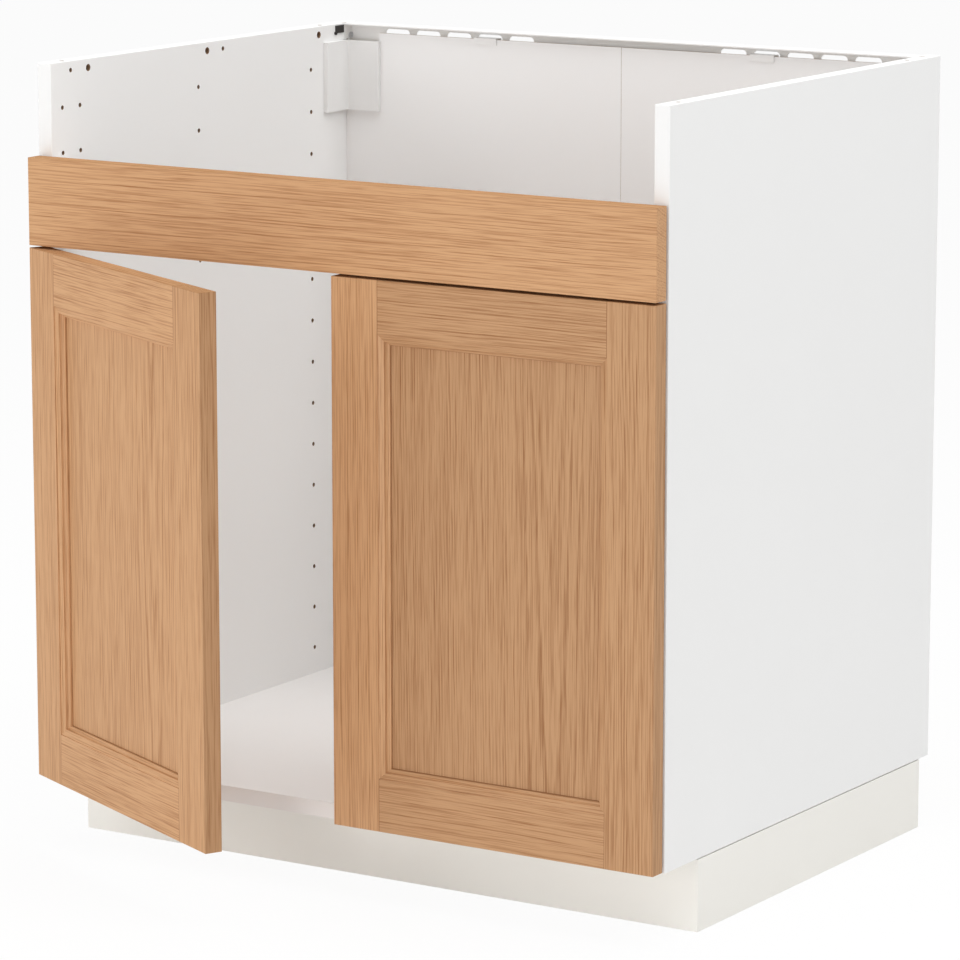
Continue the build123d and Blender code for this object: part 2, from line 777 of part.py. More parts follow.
# Hinge links: bent bars that dip under the cup's rim as the door swings
def hinge_links(side, opening):
    route = (
        (cup_pin_u, cup_pin_v),
        (link_dip_u, link_floor_v),
        (link_rise_u, link_floor_v),
        (link_neck_u, link_neck_v),
        (arm_pin_u, arm_pin_v),
    )
    points = [(-side * (u - arm_pin_u), v - arm_pin_v) for u, v in route]
    with BuildPart() as links:
        for z in hinge_rows:
            with BuildSketch(link_plane(side, opening).offset(z - link_half_height)):
                with BuildLine():
                    FilletPolyline(*points, radius=link_bend)
                trace(line_width=link_width)
                with Locations(points[0]):
                    Circle(link_cup_eye)
                with Locations(points[-1]):
                    Circle(link_arm_eye)
                with Locations(points[0], points[-1]):
                    Circle(pin_radius + link_bore_clearance, mode=Mode.SUBTRACT)
            extrude(amount=2 * link_half_height)
    return links.part


# Door frames: one moulded section serves stiles and rails, mitred where the mouldings meet
opening_edge = stile_flat + moulding_width
panel_back_v = -(front_thickness - centre_panel_recess - centre_panel_thickness)
panel_front_v = panel_back_v - centre_panel_thickness


def frame_member(door, outline, section, point):
    """A stile or rail: its front outline, cut to the moulded section that point(t, v) places on a plane."""
    front_v = -front_thickness
    band_t = stile_flat + moulding_band
    band_v = front_v + moulding_quirk + moulding_band_drop
    lip_v = panel_front_v - panel_slip - moulding_lip
    groove_t = opening_edge - panel_groove_depth
    hollow_t = band_t + moulding_hollow_run * (opening_edge - band_t)
    hollow_v = lip_v + moulding_hollow_rise * (band_v - lip_v)
    soft = front_edge_round * (1 - cos(radians(45)))
    with BuildPart() as member:
        with BuildSketch(upright(door)):
            with BuildLine():
                Polyline(*outline, close=True)
            make_face()
        extrude(amount=front_thickness)
        with BuildSketch(section):
            with BuildLine():
                Polyline(
                    point(0, front_v + front_edge_round),
                    point(0, 0),
                    point(opening_edge, 0),
                    point(opening_edge, panel_back_v + panel_slip),
                    point(groove_t, panel_back_v + panel_slip),
                    point(groove_t, panel_front_v - panel_slip),
                    point(opening_edge, panel_front_v - panel_slip),
                    point(opening_edge, lip_v),
                )
                ThreePointArc(point(opening_edge, lip_v), point(hollow_t, hollow_v), point(band_t, band_v))
                Polyline(
                    point(band_t, band_v),
                    point(stile_flat, front_v + moulding_quirk),
                    point(stile_flat, front_v),
                    point(front_edge_round, front_v),
                )
                ThreePointArc(
                    point(front_edge_round, front_v),
                    point(soft, front_v + soft),
                    point(0, front_v + front_edge_round),
                )
            make_face()
        extrude(amount=door_height + door_width, both=True, mode=Mode.INTERSECT)
    return member.part


def door_stile(door, edge_x, inward, cup_rows):
    """A stile from its outer edge inward, mortised for the rails and bored for any hinge cups."""
    outline = [
        (edge_x, 0),
        (edge_x + inward * stile_flat, 0),
        (edge_x + inward * stile_flat, stile_flat),
        (edge_x + inward * opening_edge, opening_edge),
        (edge_x + inward * opening_edge, door_height - opening_edge),
        (edge_x + inward * stile_flat, door_height - stile_flat),
        (edge_x + inward * stile_flat, door_height),
        (edge_x, door_height),
    ]
    with BuildPart() as stile:
        add(frame_member(door, outline, door, lambda t, v: (edge_x + inward * t, v)))
        # Soft ends
        with BuildSketch(across(door)) as ends:
            with Locations((-front_thickness / 2, door_height / 2)):
                Rectangle(front_thickness, door_height)
            fillet(ends.vertices().group_by(Axis.X)[0], front_edge_round)
        extrude(amount=2 * door_width, both=True, mode=Mode.INTERSECT)
        # Mortises
        for middle in (stile_flat / 2, door_height - stile_flat / 2):
            with BuildSketch(upright(door).offset(front_thickness / 2 - tenon_thickness / 2 - tenon_clearance)):
                with Locations((edge_x + inward * (stile_flat - tenon_length / 2), middle)):
                    Rectangle(
                        tenon_length + 2 * tenon_clearance,
                        stile_flat - 2 * tenon_shoulder + 2 * tenon_clearance,
                    )
            extrude(amount=tenon_thickness + 2 * tenon_clearance, mode=Mode.SUBTRACT)
        # Cup bores and their screw holes
        for row in cup_rows:
            with BuildSketch(upright(door)):
                with Locations((edge_x + inward * cup_u, row)):
                    Circle(cup_radius + cup_bore_clearance)
            extrude(amount=cup_depth + cup_bore_clearance, mode=Mode.SUBTRACT)
            with BuildSketch(upright(door)):
                with Locations(*[(edge_x + inward * cup_ear_u, row + s * cup_ear_z) for s in (-1, 1)]):
                    Circle(screw_radius + screw_clearance)
            extrude(amount=short_screw, mode=Mode.SUBTRACT)
    return stile.part


def door_rail(door, ends, edge_z, inward):
    """A rail between the stiles, with a stub tenon at each end."""
    low_x, high_x = ends
    step = moulding_width if high_x > low_x else -moulding_width
    outline = [
        (low_x, edge_z),
        (high_x, edge_z),
        (high_x, edge_z + inward * stile_flat),
        (high_x - step, edge_z + inward * opening_edge),
        (low_x + step, edge_z + inward * opening_edge),
        (low_x, edge_z + inward * stile_flat),
    ]
    with BuildPart() as rail:
        add(frame_member(door, outline, across(door), lambda t, v: (v, edge_z + inward * t)))
        with BuildSketch(upright(door).offset(front_thickness / 2 - tenon_thickness / 2)):
            with Locations(((low_x + high_x) / 2, edge_z + inward * stile_flat / 2)):
                Rectangle(abs(high_x - low_x) + 2 * tenon_length, stile_flat - 2 * tenon_shoulder)
        extrude(amount=tenon_thickness)
    return rail.part


def centre_panel(door, middle_x):
    """The floating panel, held in the grooves of the frame."""
    reach = panel_groove_depth - panel_float - opening_edge
    with BuildPart() as panel:
        with BuildSketch(upright(door).offset(-panel_back_v)):
            with Locations((middle_x, door_height / 2)):
                Rectangle(door_width + 2 * reach, door_height + 2 * reach)
        extrude(amount=centre_panel_thickness)
    return panel.part


def hinge_cups(door, inward, rows):
    """Cups with a flange on the door's rear face and two lugs that hold the cup pin."""
    lug_low = arm_inner_z
    with BuildPart() as cups:
        for row in rows:
            with BuildSketch(upright(door)):
                with Locations((inward * cup_u, row)):
                    Circle(cup_flange_radius)
                for s in (-1, 1):
                    with Locations((inward * cup_ear_u, row + s * cup_ear_z)):
                        Circle(cup_ear_radius)
                make_hull()
                for s in (-1, 1):
                    with Locations((inward * cup_ear_u, row + s * cup_ear_z)):
                        Circle(screw_radius + screw_clearance, mode=Mode.SUBTRACT)
            extrude(amount=-cup_flange)
            with BuildSketch(upright(door)):
                with Locations((inward * cup_u, row)):
                    Circle(cup_radius)
            extrude(amount=cup_depth)
            with BuildSketch(upright(door).offset(-cup_flange)):
                with Locations((inward * cup_u, row)):
                    Circle(cup_radius - cup_wall)
            extrude(amount=cup_flange + cup_depth - cup_floor, mode=Mode.SUBTRACT)
            for low in (-lug_low - cup_lug, lug_low):
                with BuildSketch(door.offset(row + low)):
                    with Locations((inward * cup_pin_u, cup_pin_v)):
                        Circle(cup_lug_radius)
                    with Locations((inward * cup_pin_u, (cup_pin_v - cup_depth + cup_floor / 2) / 2)):
                        Rectangle(2 * cup_lug_radius, cup_depth - cup_floor / 2 + cup_pin_v)
                    with Locations((inward * cup_pin_u, cup_pin_v)):
                        Circle(pin_radius + pin_press_clearance, mode=Mode.SUBTRACT)
                extrude(amount=cup_lug)
    return cups.part


def cup_pins(door, inward, rows):
    reach = arm_inner_z + cup_lug
    with BuildPart() as pins:
        for row in rows:
            with BuildSketch(door.offset(row - reach)):
                with Locations((inward * cup_pin_u, cup_pin_v)):
                    Circle(pin_radius)
            extrude(amount=2 * reach)
    return pins.part


def door_bumpers(door, inward):
    """Soft dots low on the door's back, which meet the bottom panel's front edge."""
    height = board / 2 - front_gap / 2
    with BuildPart() as bumpers:
        with BuildSketch(upright(door)):
            for u in (door_width - bumper_inset, door_width / 2):
                with Locations((inward * u, height)):
                    Circle(bumper_radius)
        extrude(amount=bumper_clearance - front_standoff)
    return bumpers.part


for name, side in sides.items():
    opening = openings[name]
    door = door_plane(side, opening)
    inward = -side
    cup_rows = [z - door_bottom for z in hinge_rows]
    rail_ends = (inward * stile_flat, inward * (door_width - stile_flat))
    save(hinge_links(side, opening), f"{name}_hinge_links")
    save(door_stile(door, 0, inward, cup_rows), f"{name}_door_hinge_stile")
    save(door_stile(door, inward * door_width, -inward, []), f"{name}_door_free_stile")
    save(door_rail(door, rail_ends, door_height, -1), f"{name}_door_top_rail")
    save(door_rail(door, rail_ends, 0, 1), f"{name}_door_bottom_rail")
    save(centre_panel(door, inward * door_width / 2), f"{name}_door_panel")
    save(hinge_cups(door, inward, cup_rows), f"{name}_hinge_cups")
    save(cup_pins(door, inward, cup_rows), f"{name}_cup_pins")
    cup_seats = [
        Plane(
            origin=upright(door).from_local_coords((inward * cup_ear_u, row + s * cup_ear_z, -cup_flange)),
            x_dir=door.x_dir,
            z_dir=door.y_dir,
        )
        for row in cup_rows
        for s in (-1, 1)
    ]
    save(screws(cup_seats, screw_radius, short_screw), f"{name}_cup_screws")
    save(door_bumpers(door, inward), f"{name}_door_bumpers")

# Legs: flanged sockets under the bottom panel with threaded feet
stem_bottom = foot_height
bore_top = base_z - leg_flange_thickness
stem_top = bore_top - stem_top_gap
thread_turns = int((stem_top - stem_bottom) / thread_pitch)
for name, place in zip(leg_names, leg_places):
    with BuildPart() as leg:
        with BuildSketch(Plane.XY.offset(base_z)):
            with Locations(place):
                RectangleRounded(leg_flange, leg_flange, leg_flange_round)
                with GridLocations(leg_screw_spacing, leg_screw_spacing, 2, 2):
                    Circle(screw_radius + screw_clearance, mode=Mode.SUBTRACT)
        extrude(amount=-leg_flange_thickness)
        with BuildSketch(Plane.XY.offset(bore_top)):
            with Locations(place):
                Circle(leg_tube_radius)
                Circle(stem_radius + stem_clearance, mode=Mode.SUBTRACT)
        extrude(amount=-(leg_tube_height - leg_flange_thickness))
    save(leg.part, f"{name}_leg")

    with BuildPart() as foot:
        with BuildSketch(Plane(origin=(*place, 0), x_dir=(1, 0, 0), z_dir=(0, -1, 0))):
            with BuildLine():
                Line((0, 0), (foot_radius, 0))
                Line((foot_radius, 0), (foot_radius, foot_height - foot_edge_round))
                RadiusArc(
                    (foot_radius, foot_height - foot_edge_round),
                    (foot_radius - foot_edge_round, foot_height),
                    -foot_edge_round,
                )
                crests = []
                for turn in range(thread_turns):
                    root_z = stem_bottom + turn * thread_pitch
                    crests += [
                        (stem_radius - thread_depth, root_z),
                        (stem_radius - thread_depth, root_z + thread_pitch / 4),
                        (stem_radius, root_z + thread_pitch / 2),
                        (stem_radius, root_z + 3 * thread_pitch / 4),
                    ]
                Polyline((foot_radius - foot_edge_round, foot_height), *crests)
                Polyline(crests[-1], (stem_radius, stem_top), (0, stem_top), (0, 0))
            make_face()
        revolve(axis=Axis((*place, 0), (0, 0, 1)))
    save(foot.part, f"{name}_foot")

leg_screw_seats = [
    Plane(
        origin=(x + sx * leg_screw_spacing / 2, y + sy * leg_screw_spacing / 2, bore_top),
        x_dir=(1, 0, 0),
        z_dir=(0, 0, -1),
    )
    for x, y in leg_places
    for sx in (-1, 1)
    for sy in (-1, 1)
]
save(screws(leg_screw_seats, screw_radius, short_screw + leg_flange_thickness - screw_clearance), "leg_screws")

# Plinth boards, mitred at the front corners
plinth_top = plinth_height - plinth_top_gap
plinth_front_y = -plinth_board / 2
plinth_back_y = plinth_board / 2
plinth_rear_y = back_y - plinth_rear_gap
plinth_inner_x = half_width - plinth_board
with BuildPart() as plinth_front:
    with BuildSketch():
        with BuildLine():
            Polyline(
                (-half_width, plinth_front_y),
                (half_width, plinth_front_y),
                (plinth_inner_x, plinth_back_y),
                (-plinth_inner_x, plinth_back_y),
                close=True,
            )
        make_face()
    extrude(amount=plinth_top)
save(plinth_front.part, "plinth_front")

for name, side in sides.items():
    with BuildPart() as plinth_side:
        with BuildSketch():
            with BuildLine():
                Polyline(
                    (side * half_width, plinth_front_y),
                    (side * half_width, plinth_rear_y),
                    (side * plinth_inner_x, plinth_rear_y),
                    (side * plinth_inner_x, plinth_back_y),
                    close=True,
                )
            make_face()
        extrude(amount=plinth_top)
    save(plinth_side.part, f"plinth_{name}")


# Snap clips: from the front legs to the front board and from the rear legs to the side boards
def snap_plane(place):
    """Level plane on a leg's axis, its x pointing at the plinth board that the clip holds, and the way there."""
    x, y = place
    to_front = y - plinth_back_y
    to_side = plinth_inner_x - abs(x)
    facing = (0, -1, 0) if to_front < to_side else (x / abs(x), 0, 0)
    z_low = plinth_height - leg_tube_height / 2 - snap_height / 2
    return Plane(origin=(x, y, z_low), x_dir=facing, z_dir=(0, 0, 1)), min(to_front, to_side)


with BuildPart() as snap_clips:
    for place in leg_places:
        level, reach = snap_plane(place)
        ring = leg_tube_radius + snap_clearance
        with BuildSketch(level):
            Circle(ring + snap_wall)
            with Locations(((reach + ring) / 2, 0)):
                Rectangle(reach - ring, snap_arm_width)
            Circle(ring, mode=Mode.SUBTRACT)
            with Locations((-ring, 0)):
                Rectangle(ring, snap_mouth, mode=Mode.SUBTRACT)
        extrude(amount=snap_height)
        with BuildSketch(level.offset(snap_height / 2 - snap_plate_height / 2)):
            with Locations((reach - snap_plate_thickness / 2, 0)):
                Rectangle(snap_plate_thickness, snap_plate_width)
        extrude(amount=snap_plate_height)
save(snap_clips.part, "plinth_clips")
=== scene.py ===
import json
from math import cos, pi, radians, sin
from typing import NamedTuple

import bpy
import numpy as np
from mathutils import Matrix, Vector


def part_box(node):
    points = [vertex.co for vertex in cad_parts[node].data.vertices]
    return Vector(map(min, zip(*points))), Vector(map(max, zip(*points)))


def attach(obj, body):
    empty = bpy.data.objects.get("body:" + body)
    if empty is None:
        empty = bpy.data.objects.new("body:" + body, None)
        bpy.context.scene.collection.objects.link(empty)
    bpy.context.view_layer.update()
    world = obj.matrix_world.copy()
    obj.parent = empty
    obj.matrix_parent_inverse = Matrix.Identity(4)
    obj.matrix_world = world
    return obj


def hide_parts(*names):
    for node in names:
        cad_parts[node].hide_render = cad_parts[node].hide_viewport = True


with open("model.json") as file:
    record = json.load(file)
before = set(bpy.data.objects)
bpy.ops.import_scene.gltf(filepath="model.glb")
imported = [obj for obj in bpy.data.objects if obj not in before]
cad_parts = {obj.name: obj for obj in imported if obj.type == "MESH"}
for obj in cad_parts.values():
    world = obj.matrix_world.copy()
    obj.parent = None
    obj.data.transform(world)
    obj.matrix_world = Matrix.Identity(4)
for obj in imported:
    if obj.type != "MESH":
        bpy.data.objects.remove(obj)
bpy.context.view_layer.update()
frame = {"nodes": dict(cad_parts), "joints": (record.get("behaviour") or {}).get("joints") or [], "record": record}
NODES = frame["nodes"]

bl_info = {
    "name": "Sink base cabinet",
    "version": (1, 0, 0),
    "blender": (4, 5, 0),
    "location": "3D View > Sidebar > Cabinet",
    "description": "Finishes and stage of an open-topped kitchen cabinet with oak fronts",
    "category": "Object",
}

RIGHTWARD = Vector((1, 0, 0))
REARWARD = Vector((0, 1, 0))
UP = Vector((0, 0, 1))
WHITE = (1, 1, 1, 1)

# A place that no piece reaches, in metres, and joints that lie as far away
FAR = 9.0
NO_JOINTS = (Vector((-FAR, 0, -FAR)), Vector((FAR, 0, FAR)))


# Facts read from the frame
def rest_opening(hand):
    """How far a door stands open at rest, in radians: its swing since closed less the link's share."""
    swing = next(j for j in frame["joints"] if j["name"] == f"{hand}_door_swing")
    couplings = frame["record"]["behaviour"]["couplings"]
    share = next(c["ratio"] for c in couplings if c["follows"] == swing["name"])
    return radians(-swing["range_deg"][0] * (1 + share))


def door_axes(hand):
    """Directions along a door's width and through its thickness, at rest."""
    turn = rest_opening(hand) * (1 if hand == "left" else -1)
    return Vector((cos(turn), -sin(turn), 0)), Vector((sin(turn), cos(turn), 0))


def reach(name, axis):
    """How far a CAD node reaches along a direction: its lowest and highest place."""
    points = np.empty(3 * len(NODES[name].data.vertices))
    NODES[name].data.vertices.foreach_get("co", points)
    along = points.reshape(-1, 3) @ np.array(axis)
    return along.min(), along.max()


def named(*endings):
    """CAD nodes whose names end in one of these words."""
    return [name for name in NODES if name.endswith(endings)]


# Sizes and colours that a user would change
def colour_property(name, description, rgb):
    """A colour with a picker in the panel."""
    return bpy.props.FloatVectorProperty(
        name=name, description=description, subtype="COLOR", size=4, default=(*rgb, 1), min=0, max=1,
    )


def length_property(name, description, default):
    """A length in metres, shown to a hundredth of a millimetre."""
    return bpy.props.FloatProperty(
        name=name, description=description, unit="LENGTH", default=default, min=0, precision=5,
    )


def power_property(name, description, default):
    """A lamp's power in watts."""
    return bpy.props.FloatProperty(
        name=name, description=description, unit="POWER", default=default, min=0,
    )


class OakSettings(bpy.types.PropertyGroup):
    """Colours and grain of the oak fronts."""

    pale: colour_property("Pale wood", "Colour between the growth rings", (0.655, 0.376, 0.194))
    dark: colour_property("Ring", "Colour of the growth rings", (0.435, 0.211, 0.092))
    pore: colour_property("Pores", "Colour in the open pores", (0.330, 0.146, 0.062))
    ring_width: length_property("Ring width", "Distance from one growth ring to the next", 0.0030)
    sway: length_property("Sway", "How far the rings wander from side to side", 0.016)
    relief: length_property("Relief", "Depth of the open grain", 0.0002)
    tenon: length_property("Tenon", "Length of the rails' tenons, hidden in the stiles", 0.012)
    tongue: length_property("Tongue", "How far the centre panels reach into the frames' grooves", 0.0075)
    # The same width sets the painted shade line round each centre panel
    joint: length_property("Joint line", "Width of the dark line where a rail meets a stile", 0.0007)
    # The darker edges within this depth are painted shade, where the lamps light the edges more than the faces
    edge: length_property("Edge depth", "How far the darker wood of the edges reaches into a board", 0.0006)


class BoardSettings(bpy.types.PropertyGroup):
    """Colours of the foil-covered boards."""

    foil: colour_property("White foil", "Colour of the side boards", (0.910, 0.909, 0.902))
    # Painted shade and warm bounce light: the bottom board has the sides' white foil, coloured darker and warmer
    bottom: colour_property("Bottom foil", "Colour of the bottom board", (0.860, 0.847, 0.837))
    back: colour_property("Back lacquer", "Colour of the back boards' inner face", (0.950, 0.946, 0.942))
    plinth: colour_property("Plinth foil", "Colour of the plinth boards", (0.930, 0.912, 0.862))
    core: colour_property("Chip core", "Colour of the board inside its holes", (0.260, 0.150, 0.085))
    chip: colour_property("Pale chips", "Colour of the pale chips in the core", (0.420, 0.290, 0.180))
    raw: colour_property("Raw fibreboard", "Colour of the back boards' rear face", (0.420, 0.318, 0.222))
    fibre: colour_property("Pale fibres", "Colour of the pale fibres in that face", (0.570, 0.455, 0.335))
    foil_depth: length_property("Foil depth", "How deep the foil shows before the core", 0.0002)


class FittingSettings(bpy.types.PropertyGroup):
    """Colours of the metal and plastic fittings."""

    powder: colour_property("Powder coat", "Colour of the steel rails", (0.930, 0.928, 0.920))
    cover: colour_property("Covers", "Colour of the plastic corner covers", (0.850, 0.848, 0.840))
    nickel: colour_property("Nickel", "Colour of the hinges", (0.660, 0.640, 0.600))
    zinc: colour_property("Zinc", "Colour of screws and brackets", (0.580, 0.585, 0.600))
    cast: colour_property("Cast zinc", "Colour of the cam fittings", (0.460, 0.460, 0.465))
    oxide: colour_property("Dark oxide", "Colour of the rail hooks", (0.045, 0.042, 0.040))
    plastic: colour_property("Black plastic", "Colour of legs, feet and clips", (0.022, 0.022, 0.023))
    rubber: colour_property("Bumpers", "Colour of the soft dots behind the doors", (0.700, 0.695, 0.670))
    beech: colour_property("Beech", "Pale colour of the dowels", (0.640, 0.440, 0.270))
    beech_dark: colour_property("Beech grain", "Dark colour of the dowels", (0.480, 0.300, 0.170))


class FootSettings(bpy.types.PropertyGroup):
    """Sizes of the levelling feet's thread and grip."""

    base_height: length_property("Base height", "Height of the round base", 0.007)
    edge_round: length_property("Edge", "Round on the base's rim", 0.002)
    stem_radius: length_property("Stem radius", "Radius over the thread", 0.0149)
    pitch: length_property("Pitch", "Rise of the thread in one turn", 0.005)
    thread_depth: length_property("Thread depth", "Depth of the thread", 0.0012)
    grip_depth: length_property("Grip depth", "Depth of the flutes round the base", 0.0011)
    grip_count: bpy.props.IntProperty(
        name="Grips", description="Flutes round the base", default=20, min=3,
    )


class StageSettings(bpy.types.PropertyGroup):
    """Camera and lights."""

    lens: bpy.props.FloatProperty(
        name="Lens", description="Focal length on a 36 mm frame", subtype="DISTANCE_CAMERA",
        default=177.196, min=1,
    )
    place: bpy.props.FloatVectorProperty(
        name="Camera", description="Where the camera stands", subtype="XYZ", unit="LENGTH",
        default=(2.77224, -4.18775, 1.39838),
    )
    pitch: bpy.props.FloatProperty(
        name="Pitch", description="How far the camera looks down", subtype="ANGLE", default=0.188,
    )
    yaw: bpy.props.FloatProperty(
        name="Yaw", description="How far the camera looks to the left", subtype="ANGLE", default=0.56386,
    )
    sky: bpy.props.FloatProperty(
        name="Sky", description="Level of the even light from all round", default=0.48, min=0,
    )
    key: power_property("Key", "Soft box at the front left", 34)
    front: power_property("Front", "Soft box straight in front", 36)
    top: power_property("Top", "Soft box overhead", 49)
    side: power_property("Side", "Soft box high on the right", 34)
    floor_white: bpy.props.FloatProperty(
        name="Floor white", description="Share of plain white in the floor that the camera sees",
        subtype="FACTOR", default=0.93, min=0, max=1,
    )


SETTINGS = {
    "cabinet_oak": OakSettings,
    "cabinet_boards": BoardSettings,
    "cabinet_fittings": FittingSettings,
    "cabinet_feet": FootSettings,
    "cabinet_stage": StageSettings,
}


# Shader building
class Graph:
    """Short names for placing nodes in one shader tree; most calls return the new node's main output."""

    def __init__(self, tree):
        self.tree = tree

    def node(self, kind, inputs=None, **options):
        """Place a node, set its options, link the sockets given and set the values given."""
        made = self.tree.nodes.new("ShaderNode" + kind)
        for key, value in options.items():
            setattr(made, key, value)
        for key, value in (inputs or {}).items():
            self.feed(made.inputs[key], value)
        return made

    def feed(self, socket, value):
        """Link another socket to this one, or set its value."""
        if isinstance(value, bpy.types.NodeSocket):
            self.tree.links.new(value, socket)
        else:
            socket.default_value = value

    def math(self, operation, *values):
        return self.node("Math", dict(enumerate(values)), operation=operation).outputs[0]

    def vector(self, operation, *values):
        return self.node("VectorMath", dict(enumerate(values)), operation=operation).outputs[0]

    def dot(self, a, b):
        return self.node("VectorMath", {0: a, 1: b}, operation="DOT_PRODUCT").outputs["Value"]

    def parts(self, vector):
        """The three numbers of a vector."""
        return self.node("SeparateXYZ", {0: vector}).outputs

    def shade(self, colour, factor):
        """A colour made lighter or darker."""
        return self.node("VectorMath", {0: colour, "Scale": factor}, operation="SCALE").outputs[0]

    def noise(self, place, scale, detail=2.0, roughness=0.5):
        values = {"Vector": place, "Scale": scale, "Detail": detail, "Roughness": roughness}
        return self.node("TexNoise", values).outputs[0]

    def stretched(self, place, grains, detail=2.0, roughness=0.5):
        """Noise with its own number of grains to the metre along each axis."""
        return self.noise(self.vector("MULTIPLY", place, grains), 1.0, detail, roughness)

    def ease(self, value, low, high, to_low=0.0, to_high=1.0):
        """Smooth step of a value from one range to another."""
        values = {0: value, 1: low, 2: high, 3: to_low, 4: to_high}
        return self.node("MapRange", values, interpolation_type="SMOOTHSTEP").outputs[0]

    def span(self, value, to_low, to_high):
        """A value from 0 to 1, carried over to another range."""
        return self.node("MapRange", {0: value, 3: to_low, 4: to_high}).outputs[0]

    def mix(self, factor, a, b):
        """A colour between two others."""
        return self.node("Mix", {0: factor, 6: a, 7: b}, data_type="RGBA").outputs[2]


def shader_group(name, inputs, outputs):
    """A new node group with named sockets: its graph, its inputs by name and its output node."""
    tree = bpy.data.node_groups.new(name, "ShaderNodeTree")
    for socket, kind in inputs.items():
        tree.interface.new_socket(socket, in_out="INPUT", socket_type="NodeSocket" + kind)
    for socket, kind in outputs.items():
        tree.interface.new_socket(socket, in_out="OUTPUT", socket_type="NodeSocket" + kind)
    entry = tree.nodes.new("NodeGroupInput")
    leave = tree.nodes.new("NodeGroupOutput")
    return Graph(tree), entry.outputs, leave


PATTERN = {"Color": "Color", "Roughness": "Float", "Height": "Float"}


def close_group(graph, leave, colour, rough, height):
    """Join a pattern's colour, roughness and relief to the group's outputs."""
    for socket, value in zip(PATTERN, (colour, rough, height)):
        graph.feed(leave.inputs[socket], value)
    return graph.tree


# Grains of the wood's noises to the metre: across a board, through it and along it
SWAY_GRAINS = (9, 9, 2.2)
STEP_GRAINS = (60, 60, 3)
FIBRE_GRAINS = (460, 460, 7)
LINE_GRAINS = (1000, 1000, 17)
PORE_GRAINS = (1500, 1500, 28)
STAIN_GRAINS = (14, 14, 1.6)

# Rings: how far their steps stray, in ring widths, and the strength of the faintest and the clearest one
STEP_STRAY = 0.6
RING_STRENGTH = (0.25, 1.0)

# Places in a ring, from 0 to 1, where the early wood is fullest and where it ends
EARLY_PEAK = 0.18
EARLY_END = 0.75

# Pores: noise levels where one begins and is full, and how many lie outside the early wood
PORE_LEVELS = (0.54, 0.70)
LATE_PORES = 0.2

# What each part of the grain adds on the way from pale to dark, how dark pores are, and how dark the joint lines
# and the painted shade round the centre panels are
EARLY_TONE = 0.6
FIBRE_TONE = (-0.65, 0.65)
LINE_TONE = (-1.5, 1.5)
STAIN_TONE = (-0.25, 0.45)
PORE_TONE = 0.45
JOINT_AND_GAP_SHADE_TONE = 0.85

# Roughness and height of the fibres, and what a pore adds to the one and takes from the other
FIBRE_ROUGHNESS = (0.42, 0.50)
PORE_ROUGHNESS = 0.12
FIBRE_HEIGHT = (0.4, 0.6)
PORE_HEIGHT = 0.5

# Lacquer: its weight on the faces, and the depths below the upper edge where it begins and is whole
LACQUER = 0.45
LACQUER_DEPTHS = (0.0003, 0.0012)


